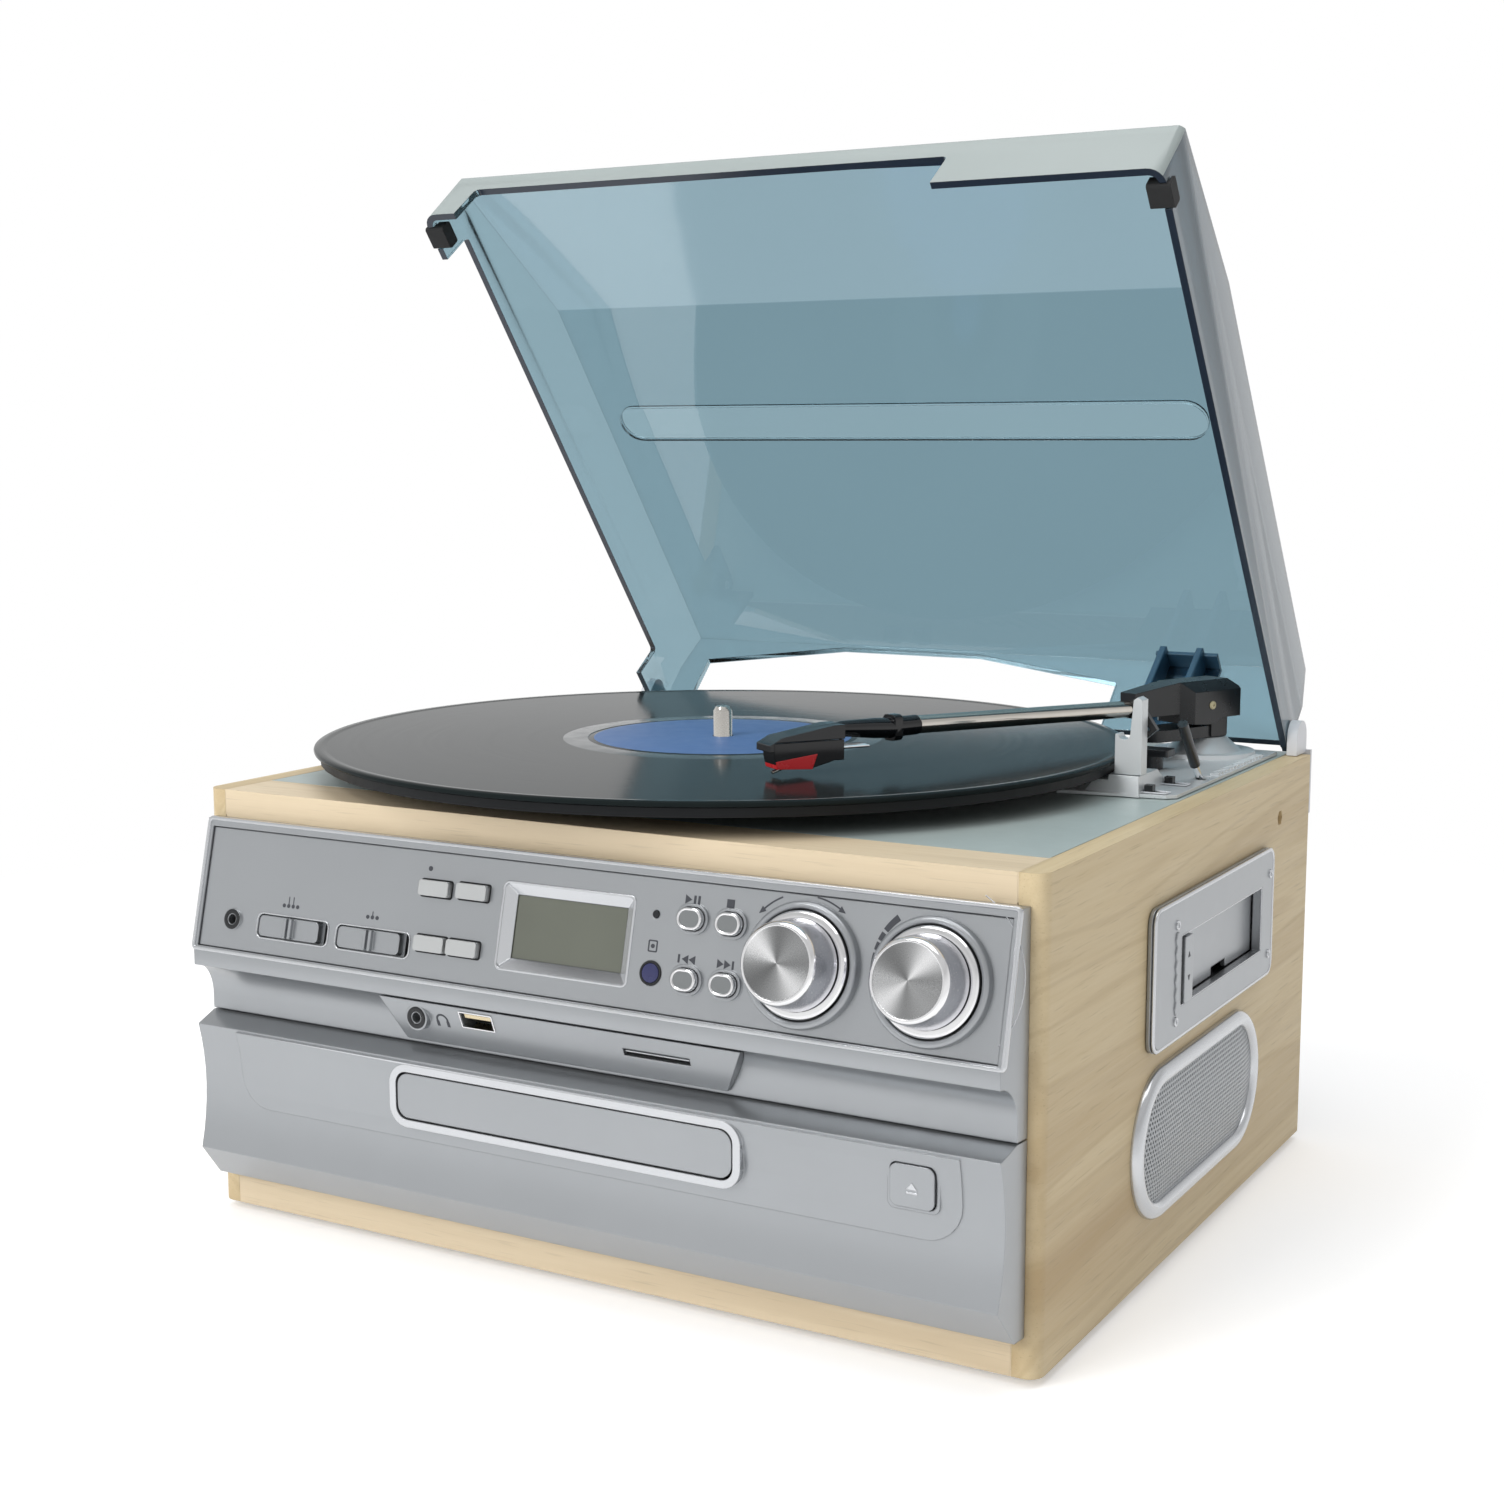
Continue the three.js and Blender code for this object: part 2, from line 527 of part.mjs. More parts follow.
function armHousing() {
  const half = housing.w / 2;
  const ridge = neck.root / 2;
  const tip = neck.w / 2;
  const waist = -housing.front + housing.cut;
  const plan = outline([[half, housing.back], [-half, housing.back], [-half, waist],
    [-ridge, -housing.front], [-tip, -neck.u], [tip, -neck.u], [ridge, -housing.front], [half, waist]]);
  const side = outline([[housing.back, housing.rearLow], [housing.back, housing.rearTop],
    [housing.back - housing.rise, housing.top], [-housing.front, housing.top], [-neck.u, neck.top],
    [-neck.u, neck.low], [-housing.front, neck.low], [-housing.front, housing.noseLow],
    [-cheek.len, housing.low], [-cheek.len / 2, housing.low], [0, housing.rearLow]]);
  const front = outline([[-half, yoke.z0], [half, yoke.z0], [half, housing.shoulder], [ridge, housing.top],
    [-ridge, housing.top], [-half, housing.shoulder]]);
  const solid = alongZ(plan, yoke.z0, housing.top + over)
    .intersect(alongX(side, -half - over, half + over))
    .intersect(alongY(front, -neck.u - over, housing.back + over));
  const inner = half - housing.wall;
  const reach = cheek.len / 2 + cheek.room;
  const hollow = block(-inner, inner, -reach, reach, yoke.z0, cheek.z1 + cheek.room);
  const stub = alongX(circle(0, pin.z, pin.r), -half + gap, half - gap, tiny);
  piece('arm_housing', join(cut(solid, hollow), stub), look.black, arm);
}

// A straight bar along the arm between two heights
function armBar(u0, z0, u1, z1, r, facets) {
  const path = new THREE.LineCurve3(new THREE.Vector3(0, -u0, z0), new THREE.Vector3(0, -u1, z1));
  const geometry = new THREE.ExtrudeGeometry(circle(0, 0, r),
    { extrudePath: path, steps: 1, curveSegments: facets });
  return solidOf(geometry);
}

// The head turns inwards from the line of the tube
function bent(solid) {
  return moved(moved(solid, 0, shell.bendU, 0).rotate([0, 0, -shell.bend]), 0, -shell.bendU, 0);
}

function armFront() {
  piece('arm_tube', armBar(tube.u0, tube.z0, tube.u1, tube.z1, tube.r, tiny), look.steel, arm);
  const half = shell.w / 2;
  const side = outline([[-shell.tail, shell.top], [-shell.tail, shell.low], [-shell.lipU, shell.low],
    [-shell.lipU, shell.lip], [-shell.tip, shell.lip],
    [-shell.tip, shell.tipZ], [-shell.chin, shell.chinZ], [-shell.brow, shell.top]]);
  const clip = collar.clipH / 2;
  const clipHalf = collar.clipW / 2;
  const bar = facing([[0, 0], [throat.r, 0], [throat.r, throat.len0], [throat.r1, throat.len1],
    [throat.r2, throat.len2], [0, throat.len]], small).rotate([-throat.rise, 0, 0]);
  const solid = join(bent(alongX(side, -half, half)),
    armBar(collar.u0, collar.z, collar.u1 + over, collar.z, collar.r, tiny),
    alongY(rounded(-clipHalf, clipHalf, collar.z - clip, collar.z + clip, over * 2), -collar.clipU, -collar.u1,
      corner),
    moved(bar, 0, -throat.u, throat.z));
  piece('headshell', solid, look.black, arm);
}

// Pickup: a body under the shell, a red guard on its underside and the needle
function cartridge() {
  const half = pickup.w / 2;
  const side = outline([[-pickup.u0, pickup.low], [-pickup.u0, pickup.top], [-pickup.u1, pickup.top],
    [-pickup.u1, pickup.chinZ], [-guard.u1, guard.z1], [-guard.u0, guard.z0], [-pickup.heelU, pickup.low]]);
  const needle = armBar(stylus.root, stylus.z, stylus.u, stylus.tip, stylus.r, tiny);
  piece('cartridge', bent(join(alongX(side, -half, half), needle)), look.red, arm);
}

// Arm rest, its hook, the lifting lever and the two small switches
function armRest() {
  const z0 = wedge.top + gap;
  const shape = new THREE.Shape();
  const r = (post.step - post.x0 - over) / 2;
  shape.moveTo(post.x0, z0);
  shape.lineTo(post.x1, z0);
  shape.lineTo(post.x1, post.high);
  shape.lineTo(post.x1 - post.w / 3, post.high + over);
  shape.lineTo(post.step + over, post.high);
  shape.lineTo(post.step, post.lip);
  shape.absellipse(post.step - r, post.lip, r, post.lip - post.notch, 0, Math.PI, true, 0);
  shape.lineTo(post.x0, post.lip);
  piece('arm_rest', alongY(shape, post.y - post.w / 2, post.y + post.w / 2, corner), look.silver);
  const strip = outline([[-hook.r, hook.r / 2], [hook.r, hook.r], [hook.tipX, -hook.tipZ],
    [hook.lobeX, -hook.lobeZ],
    [hook.lobeX - hook.r, -hook.lobeZ], [hook.tipX - hook.r * 2, -hook.tipZ], [0, -hook.r]]);
  const y0 = post.y + post.w / 2 + gap;
  piece('rest_hook', moved(alongY(strip, y0, y0 + hook.t, corner), hook.x, 0, hook.z), look.black);
}

function lifting() {
  const lean = new THREE.Vector3(0, Math.sin(lever.tilt * deg), Math.cos(lever.tilt * deg));
  const start = new THREE.Vector3(lever.x, lever.y, lever.z);
  const at = (d) => start.clone().addScaledVector(lean, d);
  const bar = (d0, d1, r) => solidOf(new THREE.ExtrudeGeometry(circle(0, 0, r),
    { extrudePath: new THREE.LineCurve3(at(d0), at(d1)), steps: 1, curveSegments: tiny }));
  const hub = alongX(circle(lever.y, lever.z, lever.gripR), lever.x - lever.slotW / 3,
    lever.x + lever.slotW / 3, tiny);
  const handle = join(bar(lever.grip0, lever.len, lever.gripR), bar(0, lever.grip0 + over, lever.r), hub);
  piece('lift_lever', handle, look.black);
  const z0 = plateTop + gap;
  const platform = join(moved(rod(lift.r, z0, lift.z1 + over, small), lift.x, lift.y, 0),
    alongZ(rounded(lift.x - lift.padW / 2, lift.x + lift.padW / 2, lift.y - lift.padL / 2,
      lift.y + lift.padL / 2, over),
      lift.z1, lift.z1 + lift.padH, corner));
  piece('arm_lift', platform, look.black);
}

function toggles() {
  const z0 = deckTop - deck.thick - over;
  const x = toggle.x0 + gap + toggle.knob / 2;
  for (const [name, y] of [['speed_switch', toggle.y0], ['stop_switch', toggle.y1]]) {
    const stem = slotZ(x, y, toggle.knob, toggle.knob, z0, plateTop + toggle.high);
    const flange = slotZ(x, y, toggle.w + over, toggle.w + over, z0 - over, z0 + over - gap);
    piece(name, join(stem, flange), look.black);
  }
}

// Cover: wedge-shaped hood with its cut-outs for the overhanging record
const hood = new THREE.Group();
hood.position.set(0, cover.axisY, cover.axisZ);
hood.rotation.x = -cover.open * deg;
body.add(hood);

function hoodBody(inset) {
  const c = cover;
  const t0 = -c.pinT - (inset > 0 ? over : 0);
  const side = outline([[-c.front + inset, t0], [-c.back - inset, t0],
    [-c.backTop - inset, c.top - c.pinT - inset],
    [-c.ridge - inset * 0.15, c.top - c.pinT - inset], [-c.front + c.sillLean + inset,
      c.sill - c.pinT - inset * 0.9]]);
  const left = c.left + inset;
  const right = c.right - inset;
  const ends = outline([[left, t0], [right, t0], [right - c.sillLean, c.sill - c.pinT],
    [right - c.topLean, c.top - c.pinT],
    [left + c.topLean, c.top - c.pinT], [left + c.sillLean, c.sill - c.pinT]]);
  const plan = rounded(left, right, -c.front + inset, -c.back - inset, c.cornerR - inset);
  const wide = c.front;
  return alongX(side, left - over, right + over)
    .intersect(alongY(ends, -c.front - over, -c.back + over))
    .intersect(alongZ(plan, -wide, wide, corner));
}

function coverPiece() {
  const c = cover;
  const k = coverCut;
  let solid = cut(hoodBody(0), hoodBody(c.wall));
  const t = (value) => value - c.pinT;
  const frontCut = alongY(rounded(k.frontX0, k.frontX1, t(-k.frontT), t(k.frontT), over * 2),
    -c.front - over, -c.front + c.wall * 4, corner);
  const leftCut = alongX(rounded(-k.leftS1, -k.leftS0, t(-k.leftT), t(k.leftT), over * 2), c.left - over,
    c.left + c.wall * 4, corner);
  const arch = new THREE.Shape();
  const mid = (k.backX0 + k.backX1) / 2;
  arch.moveTo(k.backX0, t(-k.backT));
  arch.lineTo(k.backX1, t(-k.backT));
  arch.lineTo(k.backX1, t(k.backT));
  arch.quadraticCurveTo(mid, t(k.backT + k.backRise * 2), k.backX0, t(k.backT));
  const backCut = alongY(arch, -c.back - c.wall * 3, -c.back + over);
  const sill = block(c.left + c.wall, c.right - c.wall, -c.back - c.wall * 2, -c.back + over, t(-over),
    t(k.backEdge));
  solid = cut(solid, frontCut, leftCut, backCut, sill);
  const grow = gap;
  for (const x0 of [c.left - over, c.right - c.wall - over]) {
    const x1 = x0 + c.wall + over * 2;
    solid = cut(solid, block(x0, x1, -bumper.s1 - grow, -bumper.s0 + grow, t(-over), t(bumper.notch)));
  }
  const heel = cut(block(c.left - over, c.right + over, 0, -c.back + over, t(-over), 0),
    alongX(circle(0, 0, c.pinT), c.left - over * 2, c.right + over * 2));
  solid = cut(solid, heel, alongX(circle(0, 0, ear.pinR + ear.pinGap), c.left - over, c.right + over,
    tiny));
  const band = rounded(coverRib.mid - coverRib.half, coverRib.mid + coverRib.half, -coverRib.s1,
    -coverRib.s0, (coverRib.s1 - coverRib.s0) / 2 - gap);
  const topT = t(c.top);
  solid = join(solid, alongZ(band, topT - c.wall / 2, topT + coverRib.rise, corner));
  solid = cut(solid, alongZ(band, topT - c.wall - over, topT - c.wall + coverRib.rise, corner));
  piece('cover', solid, look.smoke, hood);
}

function coverFittings() {
  const c = cover;
  const t = (value) => value - c.pinT;
  for (const [name, x0, x1, wallX0, wallX1] of [
    ['bumper_left', c.left - bumper.lap, c.left + bumper.w, c.left, c.left + c.wall],
    ['bumper_right', c.right - bumper.w, c.right + bumper.lap, c.right - c.wall, c.right]]) {
    const full = alongX(rounded(-bumper.s1, -bumper.s0, t(-bumper.low), t(bumper.high), over), x0, x1,
      corner);
    const slot = block(wallX0 - gap, wallX1 + gap, -bumper.s1 - over, -bumper.s0 + over,
      t(bumper.notch - gap), t(bumper.high + over));
    piece(name, cut(full, slot), look.rubber, hood);
  }
  for (const [name, sign, wallX] of [['hinge_left', -1, c.left], ['hinge_right', 1, c.right]]) {
    const x0 = sign > 0 ? wallX + gap : wallX - gap - ear.w;
    const y0 = c.axisY - ear.front;
    const y1 = backY + ear.back;
    const z0 = cab.height + gap;
    const shape = new THREE.Shape();
    shape.moveTo(y0, z0);
    shape.lineTo(y1, z0);
    shape.lineTo(y1, c.axisZ);
    shape.absarc((y0 + y1) / 2, c.axisZ, (y1 - y0) / 2, 0, Math.PI, false);
    const plateSolid = alongX(shape, x0, x0 + ear.w, bend);
    const pinX0 = sign > 0 ? wallX - c.wall - gap : x0;
    const pinX1 = sign > 0 ? x0 + ear.w : wallX + c.wall + gap;
    const shaft = alongX(circle(c.axisY, c.axisZ, ear.pinR), pinX0, pinX1, tiny);
    const strapY = backY + deck.overhang + gap;
    const strap = block(x0 + ear.w / 2 - ear.strapW / 2, x0 + ear.w / 2 + ear.strapW / 2, strapY,
      y1 + over, z0 - ear.drop, z0 + over);
    piece(name, join(plateSolid, shaft, strap), look.silver);
  }
}

// Front mouldings: outlines in (y, z)
const slopeTilt = Math.atan2(panel.topY - panel.lowY, panel.topZ - panel.lowZ);

const slope = new THREE.Group();
slope.position.set(0, panel.topY, panel.topZ);
slope.rotation.x = -slopeTilt;
body.add(slope);

function tilted(solid) {
  return solid.rotate([-slopeTilt / deg, 0, 0]).translate([0, panel.topY, panel.topZ]);
}

// The hollow below the nose is a quarter of an ellipse, then runs straight down
function coveOutline(offset) {
  const shape = new THREE.Shape();
  const ry = cove.deepY - cove.midY;
  const rz = panel.band - gap - cove.midZ;
  shape.moveTo(panel.backY, panel.crown);
  shape.lineTo(panel.topY - offset, panel.crown);
  shape.lineTo(panel.topY - offset, panel.topZ);
  shape.lineTo(panel.lowY - offset, panel.lowZ);
  shape.lineTo(panel.noseY - offset, panel.noseZ);
  shape.lineTo(panel.noseY - offset, panel.band - offset);
  shape.absellipse(cove.midY - offset, cove.midZ, ry, rz - offset, Math.PI / 2, 0, true, 0);
  shape.lineTo(cove.deepY - offset, cove.foot - offset);
  shape.lineTo(panel.backY, cove.foot - offset);
  return shape;
}

// Ends of a front moulding widen slightly towards the back
function endDraft(half) {
  const front = panel.noseY - over;
  return outline([[-half - panel.draft, panel.backY], [-half, front], [half, front],
    [half + panel.draft, panel.backY]]);
}

function slopedBlock(x0, x1, z0, z1, deep0, deep1) {
  return tilted(block(x0, x1, deep0, deep1, z0, z1));
}

function frontUpper() {
  const wide = panel.half + panel.draft + over;
  let solid = alongX(coveOutline(0), -wide, wide, tiny)
    .intersect(alongZ(endDraft(panel.half), 0, cab.height));
  const pocket = face.sink + face.thick + gap;
  const fx = face.half + gap;
  const lx = innerX - panel.wall;
  const low0 = -face.low - gap;
  const top0 = -face.top + gap;
  const ledgeZ0 = low0 + panel.ledgeIn;
  const ledgeZ1 = top0 - panel.ledgeIn / 2;
  const behind = panel.backY + over;
  const deepBack = panel.backY - panel.topY;
  const hollow = outline([[behind, panel.topZ - panel.wall],
    [panel.topY + deepBack, panel.topZ - panel.wall],
    [panel.lowY + pocket + panel.ledge, panel.noseZ], [panel.lowY + pocket + panel.ledge,
      panel.noseZ - panel.wall],
    [cove.deepY + cove.wall, cove.midZ + cove.wall * 3], [cove.deepY + cove.wall, cove.foot + cove.wall],
    [behind, cove.foot + cove.wall]]);
  solid = cut(solid,
    slopedBlock(-fx, fx, low0, top0, -over, pocket),
    slopedBlock(-lx, lx, ledgeZ0, ledgeZ1, 0, panel.backY - panel.noseY + over),
    alongX(hollow, -lx, lx));
  solid = cut(solid, block(sockets.x0, sockets.x1, panel.noseY - over, behind, sockets.z0, sockets.z1));
  piece('front_upper', solid, look.silver);
}

function lcdRecess() {
  const y0 = face.sink - over;
  const y1 = face.sink + face.thick + over;
  const rate = lcd.inset / face.thick;
  const grow = over * rate;
  const plan = outline([[lcd.x0 - grow, y0], [lcd.x1 + grow, y0], [lcd.x1 - lcd.inset - grow, y1],
    [lcd.x0 + lcd.inset + grow, y1]]);
  const side = outline([[y0, lcd.z0 - grow], [y0, lcd.z1 + grow], [y1, lcd.z1 - lcd.inset - grow],
    [y1, lcd.z0 + lcd.inset + grow]]);
  const pyramid = alongZ(plan, lcd.z0 - lcd.r, lcd.z1 + lcd.r)
    .intersect(alongX(side, lcd.x0 - lcd.r, lcd.x1 + lcd.r));
  return pyramid.intersect(alongY(rounded(lcd.x0, lcd.x1, lcd.z0, lcd.z1, lcd.r), y0, y1, corner));
}

function ovalShape(x, z, grow) {
  const w = oval.w / 2 + grow;
  const h = oval.h / 2 + grow;
  return rounded(x - w, x + w, z - h, z + h, h - gap / 2);
}

function keyShape(x, z, grow) {
  const w = key.w / 2 + grow;
  const h = key.h / 2 + grow;
  return rounded(x - w, x + w, z - h, z + h, key.r);
}

function controlFace() {
  const y0 = face.sink;
  const y1 = face.sink + face.thick;
  const back = y1 + over;
  let solid = block(-face.half, face.half, y0, y1, -face.low, -face.top);
  for (const [x, z] of Object.values(ovalAt)) {
    solid = join(solid, alongY(ovalShape(x, z, oval.rim + gap), y0 - oval.rimH, y0 + over, corner));
  }
  for (const [x, z] of Object.values(dialAt)) {
    const ring = turned([[dial.ringIn, -y0 - over], [dial.ringR, -y0 - over],
      [dial.ringR, -y0 + dial.ringH / 2],
      [(dial.ringR + dial.ringIn) / 2, -y0 + dial.ringH], [dial.ringIn,
        -y0 + dial.ringH / 2], [dial.ringIn, -y0 - over]], round);
    solid = join(solid, moved(ring.rotate([90, 0, 0]), x, 0, z));
    solid = cut(solid, alongY(circle(x, z, dial.shaft + gap), y0 - over, back, small));
  }
  solid = join(solid, alongY(circle(auxJack.x, auxJack.z, auxJack.r), y0 - auxJack.rise, y0 + over,
    small));
  const holes = [lcdRecess()];
  holes.push(alongY(circle(auxJack.x, auxJack.z, auxJack.hole), y0 - over * 2, back, tiny));
  holes.push(alongY(circle(irEye.x, irEye.z, irEye.r), y0 - over, y0 + irEye.sink, small));
  holes.push(alongY(circle(lamp.x, lamp.z, lamp.r), y0 - over, back, tiny));
  for (const [x, z] of Object.values(ovalAt)) {
    holes.push(alongY(ovalShape(x, z, gap), y0 - oval.rimH - over, back, corner));
  }
  for (const [x, z] of Object.values(keyAt)) {
    holes.push(alongY(keyShape(x, z, gap), y0 - over, back, corner));
  }
  for (const x of Object.values(slideAt)) {
    const shape = rounded(x - slide.w / 2, x + slide.w / 2, slide.z - slide.h / 2, slide.z + slide.h / 2,
      slide.r);
    holes.push(alongY(shape, y0 - over, back, corner));
  }
  piece('control_face', cut(solid, ...holes), look.silver, slope);
  const glass = block(lcd.x0 + over, lcd.x1 - over, y1 + gap, y1 + gap + lcd.glassT, lcd.z0 + over,
    lcd.z1 - over);
  piece('lcd_window', glass, look.display, slope);
}

// Push buttons with a retaining flange behind the face
function buttons() {
  const y1 = face.sink + face.thick;
  const rest = y1 + gap + key.travel;
  for (const [name, [x, z]] of Object.entries(keyAt)) {
    const pin0 = alongY(keyShape(x, z, 0), face.sink - key.proud, rest, corner);
    const narrow = name === 'del_button' || name === 'prog_button';
    const grow = narrow ? gap : key.lip;
    const w = key.w / 2 + grow;
    const h = key.h / 2 + key.lip;
    const flange = block(x - w, x + w, y1 + gap, y1 + gap + key.back, z - h, z + h);
    piece(name, join(pin0, flange), look.silver, slope);
  }
  for (const [name, [x, z]] of Object.entries(ovalAt)) {
    const stem = alongY(ovalShape(x, z, 0), face.sink - oval.rimH - oval.proud, rest, corner);
    const w = oval.w / 2 + key.lip;
    const h = oval.h / 2 + key.lip;
    const flange = block(x - w, x + w, y1 + gap, y1 + gap + key.back, z - h, z + h);
    piece(name, join(stem, flange), look.chrome, slope);
  }
}

function sliders() {
  const y1 = face.sink + face.thick;
  const seat = face.sink + slide.sink;
  for (const [name, x] of Object.entries(slideAt)) {
    const left = x - slide.w / 2 + gap;
    const h = slide.plateH / 2;
    const plateShape = rounded(left, left + slide.plateW, slide.z - h, slide.z + h, slide.r - gap);
    const tongue = alongY(plateShape, seat, y1 + gap + over, corner);
    const tall = h + gap + slide.lip;
    const back = block(left - slide.lip, left + slide.plateW + slide.lip, y1 + gap, y1 + gap + key.back,
      slide.z - tall, slide.z + tall);
    const r0 = left + slide.ridgeAt;
    const fin = (x0) => block(x0, x0 + slide.ridge / 3, seat - slide.ridgeH, seat + over,
      slide.z - h + gap, slide.z + h - gap);
    piece(name, join(tongue, back, fin(r0), fin(r0 + slide.ridge * 2 / 3)), look.silver, slope);
  }
}

function knobs() {
  for (const [name, [x, z]] of Object.entries(dialAt)) {
    const h0 = -face.sink + gap;
    const tip = h0 + dial.high;
    const profile = [[0, -dial.shaftL], [dial.shaft, -dial.shaftL], [dial.shaft, h0], [dial.skirtR, h0],
      [dial.skirtR, h0 + dial.skirtH / 2], [dial.bodyR + dial.fillet, h0 + dial.skirtH], [dial.bodyR,
        h0 + dial.skirtH + gap],
      [dial.tipR + dial.fillet / 2, tip - dial.fillet], [dial.tipR, tip], [0, tip - dial.dimple]];
    piece(name, moved(facing(profile, round), x, 0, z), look.chrome, slope);
  }
}

// Trapezoid plate in the cove, with its three sockets, and the strip that carries them inside
function portPlate() {
  const z0 = pad.z0;
  const z1 = pad.z1;
  const section = alongX(outline([[pad.y1, z1], [pad.y0, z0], [panel.backY, z0], [panel.backY, z1]]),
    pad.x0, pad.x1);
  const front = alongY(outline([[pad.x0, z1], [pad.low0, z0], [pad.low1, z0], [pad.x1, z1]]),
    panel.noseY, panel.backY);
  let solid = section.intersect(front);
  solid = cut(solid, alongX(coveOutline(gap), pad.x0 - over, pad.x1 + over, tiny));
  const tongue = block(sockets.x0 + gap, sockets.x1 - gap, cove.deepY - over, sockets.y - gap * 2,
    sockets.z0 + gap, sockets.z1 - gap);
  const filled = block(sockets.x0 + gap, sockets.x1 - gap, pad.y1, sockets.y - gap * 2, sockets.z0 + gap,
    sockets.z1 - gap);
  solid = join(solid, filled.intersect(alongX(outline([[pad.y1, z1], [pad.y0, z0], [panel.backY, z0],
    [panel.backY, z1]]), pad.x0, pad.x1)), tongue);
  const ring = alongY(circle(phones.x, phones.z, phones.r), pad.y1 + phones.rise, cove.deepY, small);
  solid = join(solid, ring);
  const y0 = panel.noseY - over;
  solid = cut(solid,
    alongY(circle(phones.x, phones.z, phones.hole), y0, panel.backY + over, tiny),
    block(usb.x - usb.w / 2, usb.x + usb.w / 2, y0, panel.backY + over, usb.z - usb.h / 2,
      usb.z + usb.h / 2),
    block(card.x - card.w / 2, card.x + card.w / 2, y0, panel.backY + over, card.z - card.h / 2,
      card.z + card.h / 2));
  piece('port_plate', solid, look.silver);
  const back = sockets.y + sockets.t;
  let strip = block(sockets.x0, sockets.x1, sockets.y, back, sockets.z0, sockets.z1);
  const can = (s) => block(s.x - s.w / 2 - s.wall, s.x + s.w / 2 + s.wall, sockets.y, sockets.y + s.deep,
    s.z - s.h / 2 - s.wall, s.z + s.h / 2 + s.wall);
  const bore = (s) => block(s.x - s.w / 2, s.x + s.w / 2, sockets.y - over, sockets.y + s.deep - s.wall,
    s.z - s.h / 2, s.z + s.h / 2);
  const tonguePcb = block(usb.x - usb.w / 2 + over, usb.x + usb.w / 2 - over, sockets.y + over,
    sockets.y + usb.deep,
    usb.z - usb.h / 4, usb.z);
  strip = join(strip, can(usb), can(card), alongY(circle(phones.x, phones.z, phones.r), sockets.y,
    sockets.y + phones.deep, small));
  strip = cut(strip, bore(usb), bore(card),
    alongY(circle(phones.x, phones.z, phones.hole), sockets.y - over, sockets.y + phones.deep - over,
      tiny));
  piece('port_sockets', join(strip, tonguePcb), look.steel);
}

// Lower front: ridge, shallow hollow, lip and a bevel below
function lowerOutline(offset) {
  const shape = new THREE.Shape();
  const k = offset;
  shape.moveTo(panel.backY + k, low.topZ - k);
  shape.lineTo(low.topY + k, low.topZ - k);
  shape.lineTo(low.ridgeY + k, low.ridgeZ - k / 2);
  shape.quadraticCurveTo(low.midY + k + (low.midY - low.lipY), low.midZ, low.lipY + k, low.lipZ);
  shape.lineTo(low.endY + k, low.endZ + k);
  shape.lineTo(panel.backY + k, low.endZ + k);
  return shape;
}

function frontLower() {
  const wide = panel.half + panel.draft + over;
  const inside = innerX - panel.wall;
  let solid = alongX(lowerOutline(0), -wide, wide, tiny)
    .intersect(alongZ(endDraft(panel.half), 0, cab.height));
  const fieldShape = rounded(field.x0, field.x1, field.z0, low.ridgeZ + field.r * 2, field.r);
  const raised = alongX(lowerOutline(-field.rise), -wide, wide, tiny)
    .intersect(alongY(fieldShape, panel.noseY - over * 2, panel.backY, corner))
    .intersect(block(-wide, wide, panel.noseY - over * 2, panel.backY, low.endZ, low.ridgeZ - over));
  solid = join(solid, raised);
  const hollowShape = lowerOutline(low.wall);
  solid = cut(solid, alongX(hollowShape, -inside, inside, tiny),
    block(-inside, inside, panel.backY - low.wall, panel.backY + over, low.endZ + low.wall,
      low.topZ - low.wall));
  const tz0 = tray.z0 - gap * 2;
  const tz1 = tray.z1 + gap * 2;
  const tx = tray.half + gap * 2;
  const f = tray.surround;
  const frameY = tray.front - gap;
  const frame = alongY(rounded(-tx - f, tx + f, tz0 - f, tz1 + f, tray.r + f), frameY,
    panel.backY - over, bend);
  const ex = eject;
  const eShape = (grow) => rounded(ex.x - ex.w / 2 - grow, ex.x + ex.w / 2 + grow,
    ex.z - ex.h / 2 - grow, ex.z + ex.h / 2 + grow, ex.r);
  const eRim = alongY(eShape(ex.rim + gap), low.midY - field.rise - ex.rimH, low.midY + over, corner);
  solid = join(solid, frame, eRim);
  solid = cut(solid,
    alongY(rounded(-tx, tx, tz0, tz1, tray.r), panel.noseY - over * 2, panel.backY + over, bend),
    alongY(eShape(gap), panel.noseY - over * 2, panel.backY + over, corner));
  piece('front_lower', solid, look.silver);
  const back = low.midY + low.wall + gap * 2;
  const stem = alongY(eShape(0), low.midY - field.rise - ex.rimH - ex.proud, back + ex.travel, corner);
  const flange = alongY(eShape(ex.lip), back, back + ex.back, corner);
  piece('eject_button', join(stem, flange), look.silver);
}

